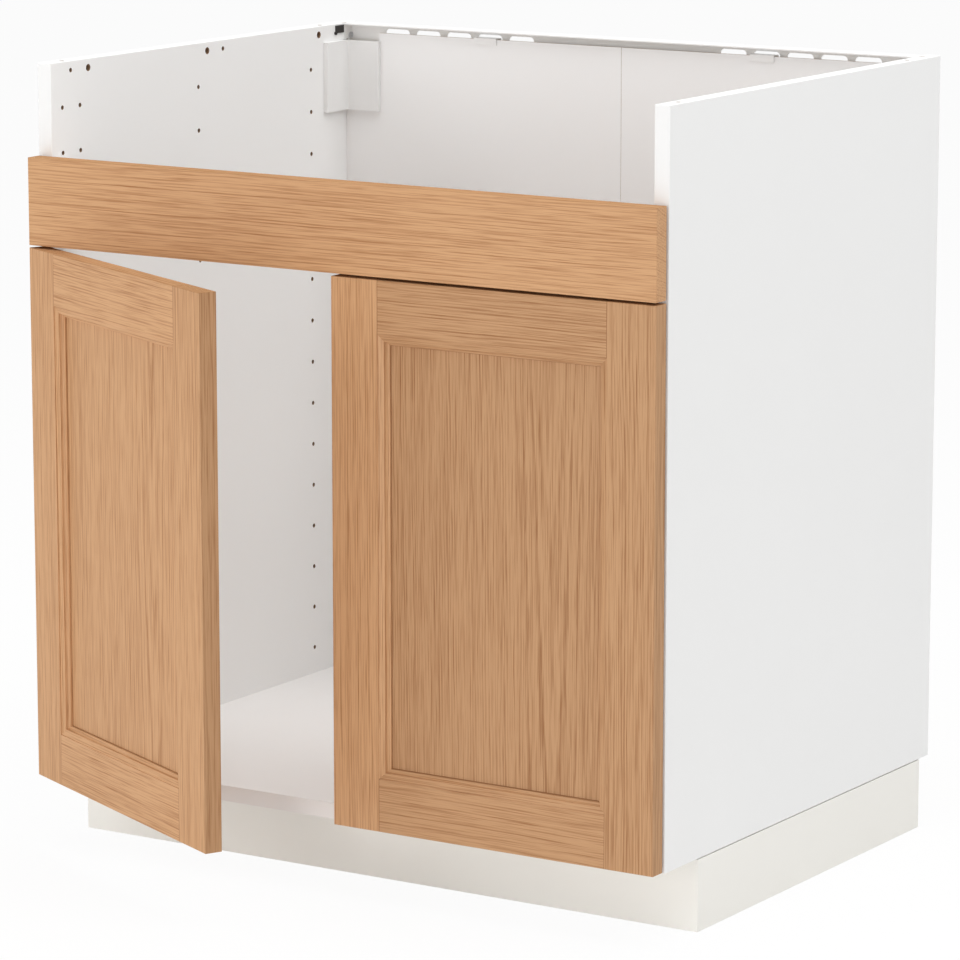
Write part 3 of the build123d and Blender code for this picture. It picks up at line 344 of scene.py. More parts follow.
def build_oak_grain():
    """Growth rings round a tapering pith line, open pores in their early wood, fibres and slow stains."""
    graph, given, leave = shader_group(
        "Oak grain",
        {
            "Position": "Vector", "Across": "Vector", "Depth": "Vector", "Along": "Vector",
            "Shift": "Vector", "Pale": "Color", "Dark": "Color", "Pore": "Color", "Ring Width": "Float",
            "Pith Across": "Float", "Pith Depth": "Float", "Taper": "Float", "Sway": "Float",
            "Joint Low": "Vector", "Joint High": "Vector", "Joint Width": "Float", "Top": "Float",
            "Outer Edge": "Float", "Edge Depth": "Float", "Edge Tone": "Float",
        },
        {**PATTERN, "Lacquer": "Float"},
    )
    across = graph.dot(given["Position"], given["Across"])
    depth = graph.dot(given["Position"], given["Depth"])
    along = graph.dot(given["Position"], given["Along"])
    board = graph.node("CombineXYZ", {0: across, 1: depth, 2: along}).outputs[0]
    place = graph.vector("ADD", board, given["Shift"])

    # Rings: distance from the pith, in ring widths, with a slow sway and an uneven step
    slow = graph.stretched(place, SWAY_GRAINS)
    sway = graph.math("MULTIPLY", graph.span(slow, -0.5, 0.5), given["Sway"])
    ring_x = graph.math("SUBTRACT", graph.math("ADD", across, sway), given["Pith Across"])
    ring_y = graph.math("SUBTRACT", depth, given["Pith Depth"])
    square_x = graph.math("MULTIPLY", ring_x, ring_x)
    square_y = graph.math("MULTIPLY", ring_y, ring_y)
    from_pith = graph.math("SQRT", graph.math("ADD", square_x, square_y))
    radius = graph.math("SUBTRACT", from_pith, graph.math("MULTIPLY", along, given["Taper"]))
    uneven = graph.span(graph.stretched(place, STEP_GRAINS, detail=1.0), -STEP_STRAY, STEP_STRAY)
    count = graph.math("ADD", graph.math("DIVIDE", radius, given["Ring Width"]), uneven)
    season = graph.math("FRACT", count)
    year = graph.math("FLOOR", count)
    vigour = graph.node("TexWhiteNoise", {"W": year}, noise_dimensions="1D").outputs["Value"]
    rise = graph.ease(season, 0.0, EARLY_PEAK)
    fall = graph.ease(season, EARLY_PEAK, EARLY_END, 1.0, 0.0)
    early = graph.math("MULTIPLY", graph.math("MULTIPLY", rise, fall), graph.span(vigour, *RING_STRENGTH))

    # Pores gather in the early wood; fibres and stains run through it all
    fibre = graph.stretched(place, FIBRE_GRAINS, detail=3.0, roughness=0.65)
    line = graph.stretched(place, LINE_GRAINS)
    pores = graph.ease(graph.stretched(place, PORE_GRAINS, detail=1.0), *PORE_LEVELS)
    pores = graph.math("MULTIPLY", pores, graph.math("ADD", early, LATE_PORES))
    stain = graph.stretched(place, STAIN_GRAINS)
    tone = graph.math("ADD", graph.math("MULTIPLY", early, EARLY_TONE), graph.span(fibre, *FIBRE_TONE))
    tone = graph.math("ADD", tone, graph.span(line, *LINE_TONE))
    tone = graph.math("ADD", tone, graph.span(stain, *STAIN_TONE))
    tone = graph.math("MAXIMUM", graph.math("MINIMUM", tone, 1.0), 0.0)
    colour = graph.mix(tone, given["Pale"], given["Dark"])
    colour = graph.mix(graph.math("MULTIPLY", pores, PORE_TONE), colour, given["Pore"])

    # Dark lines where the board meets its neighbours, across and along it: at a rail's ends a dark joint, round a
    # centre panel painted shade in the gap under the moulding
    from_low = graph.vector("ABSOLUTE", graph.vector("SUBTRACT", board, given["Joint Low"]))
    from_high = graph.vector("ABSOLUTE", graph.vector("SUBTRACT", board, given["Joint High"]))
    nearest = graph.parts(graph.vector("MINIMUM", from_low, from_high))
    joint = graph.math("LESS_THAN", graph.math("MINIMUM", nearest[0], nearest[2]), given["Joint Width"])
    colour = graph.mix(graph.math("MULTIPLY", joint, JOINT_AND_GAP_SHADE_TONE), colour, given["Pore"])

    # Painted shade: the upper and outer edges are darkened by the edge shade tone, where the lamps light them more
    # than the faces
    below_top = graph.math("SUBTRACT", given["Top"], graph.parts(given["Position"])[2])
    from_outer = graph.math("ABSOLUTE", graph.math("SUBTRACT", across, given["Outer Edge"]))
    edge = graph.math("LESS_THAN", graph.math("MINIMUM", below_top, from_outer), given["Edge Depth"])
    edge_shade = graph.math("MULTIPLY", edge, graph.math("SUBTRACT", 1.0, given["Edge Tone"]))
    colour = graph.shade(colour, graph.math("SUBTRACT", 1.0, edge_shade))

    # Lacquer lies thinner over the pores and is worn off the upper edge
    covered = graph.ease(below_top, *LACQUER_DEPTHS, 0.0, LACQUER)
    lacquer = graph.math("MULTIPLY", covered, graph.math("SUBTRACT", 1.0, pores))
    graph.feed(leave.inputs["Lacquer"], lacquer)

    pore_rough = graph.math("MULTIPLY", pores, PORE_ROUGHNESS)
    rough = graph.math("ADD", graph.span(fibre, *FIBRE_ROUGHNESS), pore_rough)
    pore_height = graph.math("MULTIPLY", pores, PORE_HEIGHT)
    height = graph.math("SUBTRACT", graph.span(fibre, *FIBRE_HEIGHT), pore_height)
    return close_group(graph, leave, colour, rough, height)


# Grains to the metre of the clouds in a coat's tone and of the wiping marks in its gloss
CLOUD_SCALE = 6.0
WIPE_SCALE = 23.0


def build_smooth_skin():
    """A foil, lacquer, powder coat or moulding: faint clouds in its tone, wiped gloss and a fine peel."""
    graph, given, leave = shader_group(
        "Smooth skin",
        {
            "Position": "Vector", "Tone": "Color", "Cloud": "Float", "Peel Scale": "Float",
            "Gloss Low": "Float", "Gloss High": "Float",
        },
        PATTERN,
    )
    clouds = graph.noise(given["Position"], CLOUD_SCALE, detail=3.0, roughness=0.6)
    cloud = graph.math("MULTIPLY", graph.math("SUBTRACT", clouds, 0.5), given["Cloud"])
    colour = graph.shade(given["Tone"], graph.math("ADD", 1.0, cloud))
    wiped = graph.noise(given["Position"], WIPE_SCALE, detail=4.0, roughness=0.6)
    gloss = graph.math("SUBTRACT", given["Gloss High"], given["Gloss Low"])
    rough = graph.math("ADD", given["Gloss Low"], graph.math("MULTIPLY", wiped, gloss))
    peel = graph.noise(given["Position"], given["Peel Scale"])
    return close_group(graph, leave, colour, rough, peel)


# Distance from two faces, in metres, within which a point lies on a rounded edge
EDGE_ZONE = 0.002

# Share of the foil's depth that counts away from the edges, as at a hole's rim
RIM_FOIL = 0.1

# Grains of the chips to the metre, and the noise levels where the pale ones begin and are full
CHIP_GRAINS = (700, 260, 700)
CHIP_LEVELS = (0.35, 0.65)


def build_chip_core():
    """Bare board where a cut or a hole runs deeper than the foil inside the board's box: its colour and a
    mask. On a rounded edge, near two faces at once, the foil lies deeper than at the rim of a hole."""
    graph, given, leave = shader_group(
        "Chip core",
        {
            "Position": "Vector", "Low": "Vector", "High": "Vector", "Foil Depth": "Float",
            "Core": "Color", "Chip": "Color",
        },
        {"Color": "Color", "Mask": "Float"},
    )
    from_low = graph.vector("SUBTRACT", given["Position"], given["Low"])
    from_high = graph.vector("SUBTRACT", given["High"], given["Position"])
    nearest = graph.parts(graph.vector("MINIMUM", from_low, from_high))
    nearer = graph.math("MINIMUM", nearest[0], nearest[1])
    farther = graph.math("MAXIMUM", nearest[0], nearest[1])
    least = graph.math("MINIMUM", nearer, nearest[2])
    second = graph.math("MAXIMUM", nearer, graph.math("MINIMUM", farther, nearest[2]))
    on_edge = graph.math("LESS_THAN", second, EDGE_ZONE)
    foil = graph.math("MULTIPLY", given["Foil Depth"], graph.span(on_edge, RIM_FOIL, 1.0))
    chips = graph.stretched(given["Position"], CHIP_GRAINS, detail=3.0, roughness=0.7)
    colour = graph.mix(graph.ease(chips, *CHIP_LEVELS), given["Core"], given["Chip"])
    graph.feed(leave.inputs["Color"], colour)
    graph.feed(leave.inputs["Mask"], graph.math("GREATER_THAN", least, foil))
    return graph.tree


# Grains of the handling marks to the metre, and the tones that they lie between
MARK_SCALE = 130.0
MARK_TONE = (0.94, 1.05)


def build_worked_metal():
    """Plated or cast metal: a fine drawn grain in its sheen and small handling marks in its tone."""
    graph, given, leave = shader_group(
        "Worked metal",
        {
            "Position": "Vector", "Tone": "Color", "Draw": "Vector", "Gloss Low": "Float",
            "Gloss High": "Float",
        },
        PATTERN,
    )
    lines = graph.stretched(given["Position"], given["Draw"], detail=3.0, roughness=0.6)
    marks = graph.noise(given["Position"], MARK_SCALE, detail=3.0, roughness=0.6)
    colour = graph.shade(given["Tone"], graph.span(marks, *MARK_TONE))
    gloss = graph.math("SUBTRACT", given["Gloss High"], given["Gloss Low"])
    rough = graph.math("ADD", given["Gloss Low"], graph.math("MULTIPLY", lines, gloss))
    return close_group(graph, leave, colour, rough, lines)


GROUPS = {
    "Oak grain": build_oak_grain,
    "Smooth skin": build_smooth_skin,
    "Chip core": build_chip_core,
    "Worked metal": build_worked_metal,
}


class Surface(Graph):
    """A new material: its surface shader, the object's own coordinates and the shared patterns."""

    def __init__(self, name):
        self.material = bpy.data.materials.new(name)
        self.material.use_nodes = True
        super().__init__(self.material.node_tree)
        self.shader = self.tree.nodes["Principled BSDF"]
        self.place = self.node("TexCoord").outputs["Object"]

    def pattern(self, name, **values):
        """Place a shared pattern on the object's coordinates; underscores in a value's name are spaces."""
        tree = bpy.data.node_groups.get(name) or GROUPS[name]()
        inputs = {key.replace("_", " "): value for key, value in values.items()}
        return self.node("Group", {"Position": self.place, **inputs}, node_tree=tree).outputs

    def finish(self, colour, rough, height, relief, **plain):
        """Feed the surface shader with a pattern and with values that are the same all over."""
        bump = self.node("Bump", {"Strength": 1.0, "Distance": relief, "Height": height})
        self.feed(self.shader.inputs["Base Color"], colour)
        self.feed(self.shader.inputs["Roughness"], rough)
        self.feed(self.shader.inputs["Normal"], bump.outputs[0])
        for key, value in plain.items():
            self.shader.inputs[key.replace("_", " ")].default_value = value
        return self.material


def assign(material, names):
    """Give CAD nodes a material in their slots."""
    for name in names:
        for slot in NODES[name].material_slots:
            slot.material = material


# Oak boards
class Cut(NamedTuple):
    """How a board was cut: the pith's place beside and behind its middle, and how fast the log narrows."""

    beside: float
    behind: float
    taper: float


CROWNED_CUT = Cut(beside=0.07, behind=0.05, taper=0.012)
STRAIGHT_CUT = Cut(beside=0.16, behind=0.06, taper=0.004)

# From one board's place in the noise to the next one's
BOARD_STEP = Vector((0.37, 0.11, 0.53))


class DoorTonesAndShade(NamedTuple):
    """Tones of one door as shares of the oak's colours, partly the wood's own and partly painted light and shade:
    its boards, its free stile and the painted shade on its outer edges.
    """

    boards: float
    free_stile: float
    hinge_edge: float
    free_edge: float


# Painted light and shade: the right door's boards are darker and its free stile lighter, and the left free stile
# darker, for how the lamps fall on them; only part of this is the wood's own variation. The edge shares are
# painted shade on the doors' outer edges
DOOR_TONES_AND_SHADE = {
    "left": DoorTonesAndShade(boards=0.99, free_stile=0.95, hinge_edge=0.85, free_edge=0.80),
    "right": DoorTonesAndShade(boards=0.85, free_stile=0.98, hinge_edge=0.97, free_edge=0.85),
}
PLAIN_TONE = 1.0
# Painted shade on the upper edges of the rails and the front panel, as a share of the oak's colours
UPPER_EDGE_SHADE_TONE = 0.80
CENTRE_PANEL_TONE = 0.97


class OakBoard(NamedTuple):
    """A board of the fronts: its CAD node, its directions across, through and along the grain, the tone of its
    faces, the painted shade on its edges as a share of them, and the place of its outer edge across the grain."""

    node: str
    axes: tuple
    tone: float
    edge_shade_tone: float
    outer_edge: float = FAR


def door_boards(hand):
    """The boards of one door, the frame first and the centre panel last."""
    width, thickness = door_axes(hand)
    upright = (width, thickness, UP)
    level = (UP, thickness, width)
    tones = DOOR_TONES_AND_SHADE[hand]
    hinge_stile = f"{hand}_door_hinge_stile"
    free_stile = f"{hand}_door_free_stile"
    hinge_end, free_end = (0, 1) if hand == "left" else (1, 0)
    hinge_edge = reach(hinge_stile, width)[hinge_end]
    free_edge = reach(free_stile, width)[free_end]
    return [
        OakBoard(hinge_stile, upright, tones.boards, tones.hinge_edge, hinge_edge),
        OakBoard(free_stile, upright, tones.free_stile, tones.free_edge, free_edge),
        OakBoard(f"{hand}_door_top_rail", level, tones.boards, UPPER_EDGE_SHADE_TONE),
        OakBoard(f"{hand}_door_bottom_rail", level, tones.boards, UPPER_EDGE_SHADE_TONE),
        OakBoard(f"{hand}_door_panel", upright, tones.boards * CENTRE_PANEL_TONE, PLAIN_TONE),
    ]


def joint_places(node, across, along, settings):
    """Where a board's visible face ends at its neighbours, low and high: a centre panel's all round, where the
    dark line is painted shade under the moulding, a rail's at both ends, and the others' nowhere."""
    low, high = (place.copy() for place in NO_JOINTS)
    if node.endswith("_door_panel"):
        hidden = settings.tongue * Vector((1, 0, 1))
        low = Vector((across[0], 0, along[0])) + hidden
        high = Vector((across[1], 0, along[1])) - hidden
    if node.endswith("_rail"):
        low.z = along[0] + settings.tenon
        high.z = along[1] - settings.tenon
    return low, high


def oak(board, shift):
    """Clear-lacquered oak for one board, with its grain along the last axis and its own place in it."""
    settings = bpy.context.scene.cabinet_oak
    made = Surface(f"oak_{board.node}")
    across, depth, along = (reach(board.node, axis) for axis in board.axes)
    cut = CROWNED_CUT if board.node.endswith("_door_panel") else STRAIGHT_CUT
    joint_low, joint_high = joint_places(board.node, across, along, settings)
    colours = (settings.pale, settings.dark, settings.pore)
    pale, dark, pore = ((*(Vector(colour[:3]) * board.tone), 1) for colour in colours)
    grain = made.pattern(
        "Oak grain", Across=board.axes[0], Depth=board.axes[1], Along=board.axes[2], Shift=shift, Pale=pale,
        Dark=dark, Pore=pore, Ring_Width=settings.ring_width, Pith_Across=sum(across) / 2 + cut.beside,
        Pith_Depth=sum(depth) / 2 + cut.behind, Taper=cut.taper, Sway=settings.sway, Joint_Low=joint_low,
        Joint_High=joint_high, Joint_Width=settings.joint, Top=reach(board.node, UP)[1],
        Outer_Edge=board.outer_edge, Edge_Depth=settings.edge, Edge_Tone=board.edge_shade_tone,
    )
    made.feed(made.shader.inputs["Coat Weight"], grain["Lacquer"])
    return made.finish(
        grain["Color"], grain["Roughness"], grain["Height"], settings.relief,
        Specular_IOR_Level=0.0, Coat_Roughness=0.4,
    )


# Coats, plastics and metals
class Coat(NamedTuple):
    """The look of a smooth coat or a plastic, apart from its colour: strength of the clouds in its tone,
    grains of its peel to the metre, height of the peel, least and greatest roughness, shine and share of
    metal."""

    cloud: float
    peel_scale: float
    relief: float
    gloss: tuple
    shine: float = 0.5
    metallic: float = 0.0


COATS = {
    "foil": Coat(cloud=0.02, peel_scale=700.0, relief=0.00002, gloss=(0.36, 0.46), shine=0.4),
    "plinth_foil": Coat(cloud=0.03, peel_scale=500.0, relief=0.00003, gloss=(0.42, 0.52), shine=0.35),
    "powder_coat": Coat(cloud=0.02, peel_scale=1400.0, relief=0.00003, gloss=(0.32, 0.42)),
    "cover_plastic": Coat(cloud=0.02, peel_scale=1100.0, relief=0.00002, gloss=(0.34, 0.44), shine=0.45),
    "dark_oxide": Coat(cloud=0.3, peel_scale=900.0, relief=0.00002, gloss=(0.35, 0.55), metallic=0.6),
    "soft_dots": Coat(cloud=0.05, peel_scale=1500.0, relief=0.00003, gloss=(0.45, 0.6), shine=0.4),
    "black_plastic": Coat(cloud=0.25, peel_scale=1300.0, relief=0.00004, gloss=(0.38, 0.52), shine=0.45),
}

# What the bare core adds to the foil's roughness
CORE_ROUGHNESS = 0.4


class Metal(NamedTuple):
    """The look of a bare metal, apart from its colour: grains of its drawn lines to the metre along each
    axis, height of the lines, and least and greatest roughness."""

    draw: tuple
    relief: float
    gloss: tuple


METALS = {
    "nickel_plate": Metal(draw=(300, 300, 1600), relief=0.000004, gloss=(0.20, 0.36)),
    "zinc_plate": Metal(draw=(900, 900, 900), relief=0.000006, gloss=(0.26, 0.44)),
    "cast_zinc": Metal(draw=(500, 500, 500), relief=0.00002, gloss=(0.42, 0.60)),
}


def coat_pattern(made, coat, tone):
    """Place a coat's pattern in a material."""
    return made.pattern(
        "Smooth skin", Tone=tone, Cloud=coat.cloud, Peel_Scale=coat.peel_scale,
        Gloss_Low=coat.gloss[0], Gloss_High=coat.gloss[1],
    )


def skin(name, tone):
    """One of the smooth coats or plastics."""
    coat = COATS[name]
    made = Surface(name)
    smooth = coat_pattern(made, coat, tone)
    return made.finish(
        smooth["Color"], smooth["Roughness"], smooth["Height"], coat.relief,
        Specular_IOR_Level=coat.shine, Metallic=coat.metallic,
    )


def cored_board(name, tone, core, chip, low, high):
    """Foil over a board, with the bare core showing inside the box from low to high."""
    coat = COATS["foil"]
    made = Surface(name)
    foil = coat_pattern(made, coat, tone)
    bare = made.pattern(
        "Chip core", Low=low, High=high, Foil_Depth=bpy.context.scene.cabinet_boards.foil_depth,
        Core=core, Chip=chip,
    )
    colour = made.mix(bare["Mask"], foil["Color"], bare["Color"])
    rough = made.math("ADD", foil["Roughness"], made.math("MULTIPLY", bare["Mask"], CORE_ROUGHNESS))
    return made.finish(colour, rough, foil["Height"], coat.relief, Specular_IOR_Level=coat.shine)


def metal(name, tone):
    """One of the bare metals."""
    look = METALS[name]
    made = Surface(name)
    worked = made.pattern(
        "Worked metal", Tone=tone, Draw=look.draw, Gloss_Low=look.gloss[0], Gloss_High=look.gloss[1],
    )
    return made.finish(
        worked["Color"], worked["Roughness"], worked["Height"], look.relief, Metallic=1.0,
    )


def beech(name, pale, dark):
    """Bare beech with its grain from side to side."""
    made = Surface(name)
    grain = made.pattern(
        "Oak grain", Across=REARWARD, Depth=UP, Along=RIGHTWARD, Pale=pale, Dark=dark, Pore=dark,
        Ring_Width=0.002, Pith_Across=0.1, Pith_Depth=0.03, Sway=0.004, Joint_Low=NO_JOINTS[0],
        Joint_High=NO_JOINTS[1], Top=FAR, Outer_Edge=FAR,
    )
    return made.finish(grain["Color"], grain["Roughness"], grain["Height"], relief=0.0001)


# Operators
class CABINET_OT_oak_fronts(bpy.types.Operator):
    """Finish the front panel and both doors in oak, each board cut from its own piece of wood"""

    bl_idname = "cabinet.oak_fronts"
    bl_label = "Oak fronts"

    def execute(self, context):
        boards = [OakBoard("front_panel", (UP, REARWARD, RIGHTWARD), PLAIN_TONE, UPPER_EDGE_SHADE_TONE)]
        for hand in DOOR_TONES_AND_SHADE:
            boards += door_boards(hand)
        for index, board in enumerate(boards):
            assign(oak(board, BOARD_STEP * index), [board.node])
        return {"FINISHED"}


class CABINET_OT_carcass_boards(bpy.types.Operator):
    """Finish the side, bottom and back boards in white, with the bare core inside their holes"""

    bl_idname = "cabinet.carcass_boards"
    bl_label = "Carcass boards"

    def execute(self, context):
        settings = context.scene.cabinet_boards
        tones = {
            "left_side_panel": settings.foil,
            "right_side_panel": settings.foil,
            # The bottom's darker, warmer foil is painted shade and warm bounce light
            "bottom_panel": settings.bottom,
        }
        for node, tone in tones.items():
            low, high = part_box(node)
            made = cored_board(f"foil_{node}", tone, settings.core, settings.chip, low, high)
            assign(made, [node])

        # Only the inner face of a back board is lacquered, so the box reaches beyond its other faces
        beyond = Vector((1, 1, 1))
        for node in ("back_board_left", "back_board_right"):
            low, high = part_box(node)
            wide_low = low - beyond
            wide_low.y = low.y
            made = cored_board(
                f"lacquer_{node}", settings.back, settings.raw, settings.fibre, wide_low, high + beyond,
            )
            assign(made, [node])
        return {"FINISHED"}


class CABINET_OT_plinth_boards(bpy.types.Operator):
    """Finish the plinth boards in off-white foil"""

    bl_idname = "cabinet.plinth_boards"
    bl_label = "Plinth boards"

    def execute(self, context):
        made = skin("plinth_foil", context.scene.cabinet_boards.plinth)
        assign(made, ["plinth_front", "plinth_left", "plinth_right"])
        return {"FINISHED"}


class CABINET_OT_rails_and_covers(bpy.types.Operator):
    """Finish the steel rails, their clips and hooks, and the plastic corner covers"""

    bl_idname = "cabinet.rails_and_covers"
    bl_label = "Rails and covers"

    def execute(self, context):
        settings = context.scene.cabinet_fittings
        assign(skin("powder_coat", settings.powder), ["rear_rail", "rear_rail_clips", "front_cross_rail"])
        assign(skin("cover_plastic", settings.cover), named("bracket_cover"))
        assign(skin("dark_oxide", settings.oxide), ["rear_rail_hooks"])
        return {"FINISHED"}


class CABINET_OT_hinges(bpy.types.Operator):
    """Finish the concealed hinges in nickel, and the soft dots behind the doors"""

    bl_idname = "cabinet.hinges"
    bl_label = "Hinges"

    def execute(self, context):
        settings = context.scene.cabinet_fittings
        pieces = named(
            "hinge_plates", "hinge_arms", "hinge_arm_pins", "hinge_links", "hinge_cups", "cup_pins",
        )
        assign(metal("nickel_plate", settings.nickel), pieces)
        assign(skin("soft_dots", settings.rubber), named("door_bumpers"))
        return {"FINISHED"}


class CABINET_OT_fasteners(bpy.types.Operator):
    """Finish the screws, wall brackets, cam fittings and dowels"""

    bl_idname = "cabinet.fasteners"
    bl_label = "Fasteners"

    def execute(self, context):
        settings = context.scene.cabinet_fittings
        assign(metal("zinc_plate", settings.zinc), named("screws", "wall_bracket"))
        assign(metal("cast_zinc", settings.cast), named("cam_bolts", "cam_locks"))
        assign(beech("beech_dowel", settings.beech, settings.beech_dark), ["carcass_dowels"])
        return {"FINISHED"}


def turned_form(centre, radius, height):
    """Closed turned form. Ring i, step j lies at radius[i, j] from the axis at an angle of j steps round a
    full turn, at height[i]; a point on the axis closes it below and another above."""
    rings, steps = radius.shape
    angle = np.linspace(0, 2 * pi, steps, endpoint=False)
    x = centre.x + radius * np.cos(angle)
    y = centre.y + radius * np.sin(angle)
    z = np.repeat(height[:, None], steps, axis=1)
    ends = [(centre.x, centre.y, height[0]), (centre.x, centre.y, height[-1])]
    points = np.concatenate([np.stack([x, y, z], axis=-1).reshape(-1, 3), ends])
    step = np.arange(steps)
    next_step = (step + 1) % steps
    ring_start = np.arange(rings - 1)[:, None] * steps
    low = (ring_start + step).ravel()
    next_low = (ring_start + next_step).ravel()
    sides = np.stack([low, next_low, next_low + steps, low + steps], axis=-1)
    top_start = (rings - 1) * steps
    low_end = np.full(steps, rings * steps)
    high_end = low_end + 1
    below = np.stack([low_end, next_step, step], axis=-1)
    above = np.stack([high_end, top_start + step, top_start + next_step], axis=-1)
    return points, sides.tolist() + below.tolist() + above.tolist()


# A foot's grid: points round a turn, and rings on the base's side, round its rim and up the stem
FOOT_STEPS = 72
SIDE_RINGS = 6
RIM_RINGS = 7
STEM_RINGS = 150

# The thread's ridge is a wave from 0 to 1, made steeper, lowered and then cut off at 0 and 1
RIDGE_STEEPNESS = 2.2
RIDGE_DROP = 0.6

# Faces that meet at a greater angle keep a sharp edge
SHARP_ANGLE = radians(40)


def foot_profile(settings, base_radius, total):
    """Radius and height of a levelling foot over its rings and round a turn. The base has a fluted side
    with a rounded rim; on the stem the radius falls by the thread depth along a helix of the given pitch."""
    angle = np.linspace(0, 2 * pi, FOOT_STEPS, endpoint=False)
    flute = settings.grip_depth * (0.5 - 0.5 * np.cos(settings.grip_count * angle))
    side_z = np.linspace(0, settings.base_height - settings.edge_round, SIDE_RINGS)
    turn = np.linspace(0, pi / 2, RIM_RINGS)
    rim_drop = settings.edge_round * (1 - np.cos(turn))
    rim_z = settings.base_height - settings.edge_round + settings.edge_round * np.sin(turn)
    stem_z = np.linspace(settings.base_height, total, STEM_RINGS)
    phase = stem_z[:, None] / settings.pitch - angle[None, :] / (2 * pi)
    wave = np.abs(2 * (phase % 1) - 1)
    ridge = np.clip(RIDGE_STEEPNESS * wave - RIDGE_DROP, 0, 1)
    run_in = np.clip((stem_z - settings.base_height) / settings.pitch, 0, 1)[:, None]
    stem = settings.stem_radius - settings.thread_depth * (1 - ridge * run_in)
    side = base_radius - np.repeat(flute[None, :], SIDE_RINGS, axis=0)
    rim = base_radius - flute[None, :] - rim_drop[:, None]
    return np.concatenate([side, rim, stem]), np.concatenate([side_z, rim_z, stem_z])


class CABINET_OT_feet(bpy.types.Operator):
    """Turn the levelling feet with fluted bases and helical threads; finish feet, legs and clips in black"""

    bl_idname = "cabinet.feet"
    bl_label = "Legs and feet"

    def execute(self, context):
        made = skin("black_plastic", context.scene.cabinet_fittings.plastic)
        assign(made, named("_leg") + ["plinth_clips"])
        for node in named("_foot"):
            low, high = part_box(node)
            profile = foot_profile(context.scene.cabinet_feet, (high.x - low.x) / 2, high.z - low.z)
            points, faces = turned_form((low + high) / 2, *profile)
            mesh = bpy.data.meshes.new(f"{node}_turned")
            mesh.from_pydata(points.tolist(), [], faces)
            mesh.polygons.foreach_set("use_smooth", np.ones(len(mesh.polygons), dtype=bool))
            mesh.set_sharp_from_angle(angle=SHARP_ANGLE)
            mesh.materials.append(made)
            foot = bpy.data.objects.new(f"{node}_turned", mesh)
            context.scene.collection.objects.link(foot)
            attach(foot, node)
            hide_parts(node)
        return {"FINISHED"}


class SoftBox(NamedTuple):
    """A square lamp: where it stands and how wide it is, in metres."""

    place: tuple
    width: float


SOFT_BOXES = {
    "key": SoftBox(place=(-2.6, -3.2, 2.4), width=2.4),
    "front": SoftBox(place=(0.2, -4.3, 0.75), width=1.4),
    "top": SoftBox(place=(0.2, 0.1, 3.6), width=2.4),
    "side": SoftBox(place=(2.2, 0.1, 3.2), width=2.0),
}

# The point that every lamp faces, in metres
LIT_POINT = Vector((0, 0.2, 0.45))

# Floor: half its width in metres, its colour and its roughness
FLOOR_HALF = 12.0
FLOOR_COLOUR = (0.95, 0.95, 0.95, 1)
FLOOR_ROUGHNESS = 0.8

# Width of the camera's frame in millimetres
SENSOR_WIDTH = 36


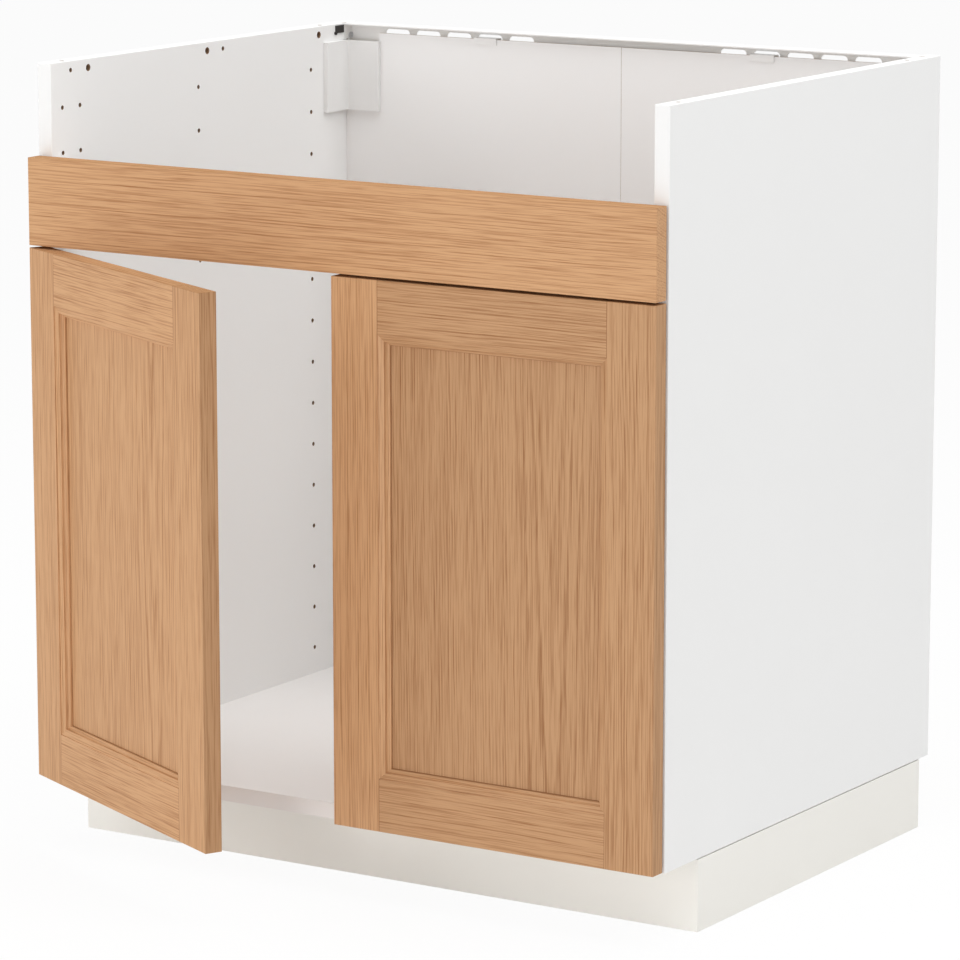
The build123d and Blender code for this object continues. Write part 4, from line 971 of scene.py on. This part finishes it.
class CABINET_OT_stage(bpy.types.Operator):
    """Set the floor, the even light, the soft boxes and the camera"""

    bl_idname = "cabinet.stage"
    bl_label = "Stage"

    def execute(self, context):
        scene = context.scene
        settings = scene.cabinet_stage
        self.add_floor(scene, settings)
        self.add_sky(scene, settings)
        self.add_lamps(scene, settings)
        self.add_camera(scene, settings)
        scene.view_settings.view_transform = "Standard"
        return {"FINISHED"}

    def add_floor(self, scene, settings):
        """A wide pale floor, partly plain white to the camera, which keeps the shadow."""
        half = FLOOR_HALF
        corners = [(-half, -half, 0), (half, -half, 0), (half, half, 0), (-half, half, 0)]
        mesh = bpy.data.meshes.new("floor")
        mesh.from_pydata(corners, [], [(0, 1, 2, 3)])
        floor = bpy.data.objects.new("floor", mesh)
        scene.collection.objects.link(floor)
        made = Surface("floor")
        made.shader.inputs["Base Color"].default_value = FLOOR_COLOUR
        made.shader.inputs["Roughness"].default_value = FLOOR_ROUGHNESS
        seen = self.camera_sees(made)
        glow = made.node("Emission", {"Color": WHITE, "Strength": 1.0})
        share = made.math("MULTIPLY", seen, settings.floor_white)
        mixed = made.node("MixShader", {0: share, 1: made.shader.outputs[0], 2: glow.outputs[0]})
        made.feed(made.tree.nodes["Material Output"].inputs["Surface"], mixed.outputs[0])
        mesh.materials.append(made.material)

    def add_sky(self, scene, settings):
        """Even light from all round, which the camera and glossy surfaces see as white."""
        world = bpy.data.worlds.new("sky")
        world.use_nodes = True
        scene.world = world
        graph = Graph(world.node_tree)
        background = world.node_tree.nodes["Background"]
        background.inputs["Color"].default_value = WHITE
        extra = graph.math("MULTIPLY", self.camera_sees(graph), 1.0 - settings.sky)
        level = graph.math("ADD", extra, settings.sky)
        graph.feed(background.inputs["Strength"], level)

    def camera_sees(self, graph):
        """1 for rays from the camera and from glossy or clear surfaces, and 0 for the others."""
        path = graph.node("LightPath").outputs
        rays = graph.math("MAXIMUM", path["Is Camera Ray"], path["Is Glossy Ray"])
        return graph.math("MAXIMUM", rays, path["Is Transmission Ray"])

    def add_lamps(self, scene, settings):
        """The soft boxes, each with the power that the settings give under its name."""
        for name, box in SOFT_BOXES.items():
            lamp = bpy.data.lights.new(f"{name}_light", "AREA")
            lamp.energy = getattr(settings, name)
            lamp.size = box.width
            holder = bpy.data.objects.new(f"{name}_light", lamp)
            holder.location = box.place
            holder.rotation_euler = (LIT_POINT - Vector(box.place)).to_track_quat("-Z", "Y").to_euler()
            scene.collection.objects.link(holder)

    def add_camera(self, scene, settings):
        """A camera that looks down by the pitch and to the left by the yaw."""
        lens = bpy.data.cameras.new("camera")
        lens.sensor_width = SENSOR_WIDTH
        lens.lens = settings.lens
        camera = bpy.data.objects.new("camera", lens)
        camera.location = settings.place
        camera.rotation_euler = (pi / 2 - settings.pitch, 0, settings.yaw)
        scene.collection.objects.link(camera)
        scene.camera = camera


OPERATORS = (
    CABINET_OT_oak_fronts,
    CABINET_OT_carcass_boards,
    CABINET_OT_plinth_boards,
    CABINET_OT_rails_and_covers,
    CABINET_OT_hinges,
    CABINET_OT_fasteners,
    CABINET_OT_feet,
    CABINET_OT_stage,
)


class VIEW3D_PT_cabinet(bpy.types.Panel):
    """The cabinet's finishes and stage"""

    bl_label = "Sink base cabinet"
    bl_idname = "VIEW3D_PT_cabinet"
    bl_space_type = "VIEW_3D"
    bl_region_type = "UI"
    bl_category = "Cabinet"

    def draw(self, context):
        for operator in OPERATORS:
            self.layout.operator(operator.bl_idname)
        for name, settings in SETTINGS.items():
            box = self.layout.box()
            box.label(text=settings.__doc__)
            for field in settings.__annotations__:
                box.prop(getattr(context.scene, name), field)


CLASSES = (*SETTINGS.values(), *OPERATORS, VIEW3D_PT_cabinet)


def register():
    for kind in CLASSES:
        bpy.utils.register_class(kind)
    for name, settings in SETTINGS.items():
        setattr(bpy.types.Scene, name, bpy.props.PointerProperty(type=settings))


def unregister():
    for name in SETTINGS:
        delattr(bpy.types.Scene, name)
    for kind in reversed(CLASSES):
        bpy.utils.unregister_class(kind)


def main():
    register()
    for operator in OPERATORS:
        group, name = operator.bl_idname.split(".")
        getattr(getattr(bpy.ops, group), name)()


if __name__ == "__main__":
    main()
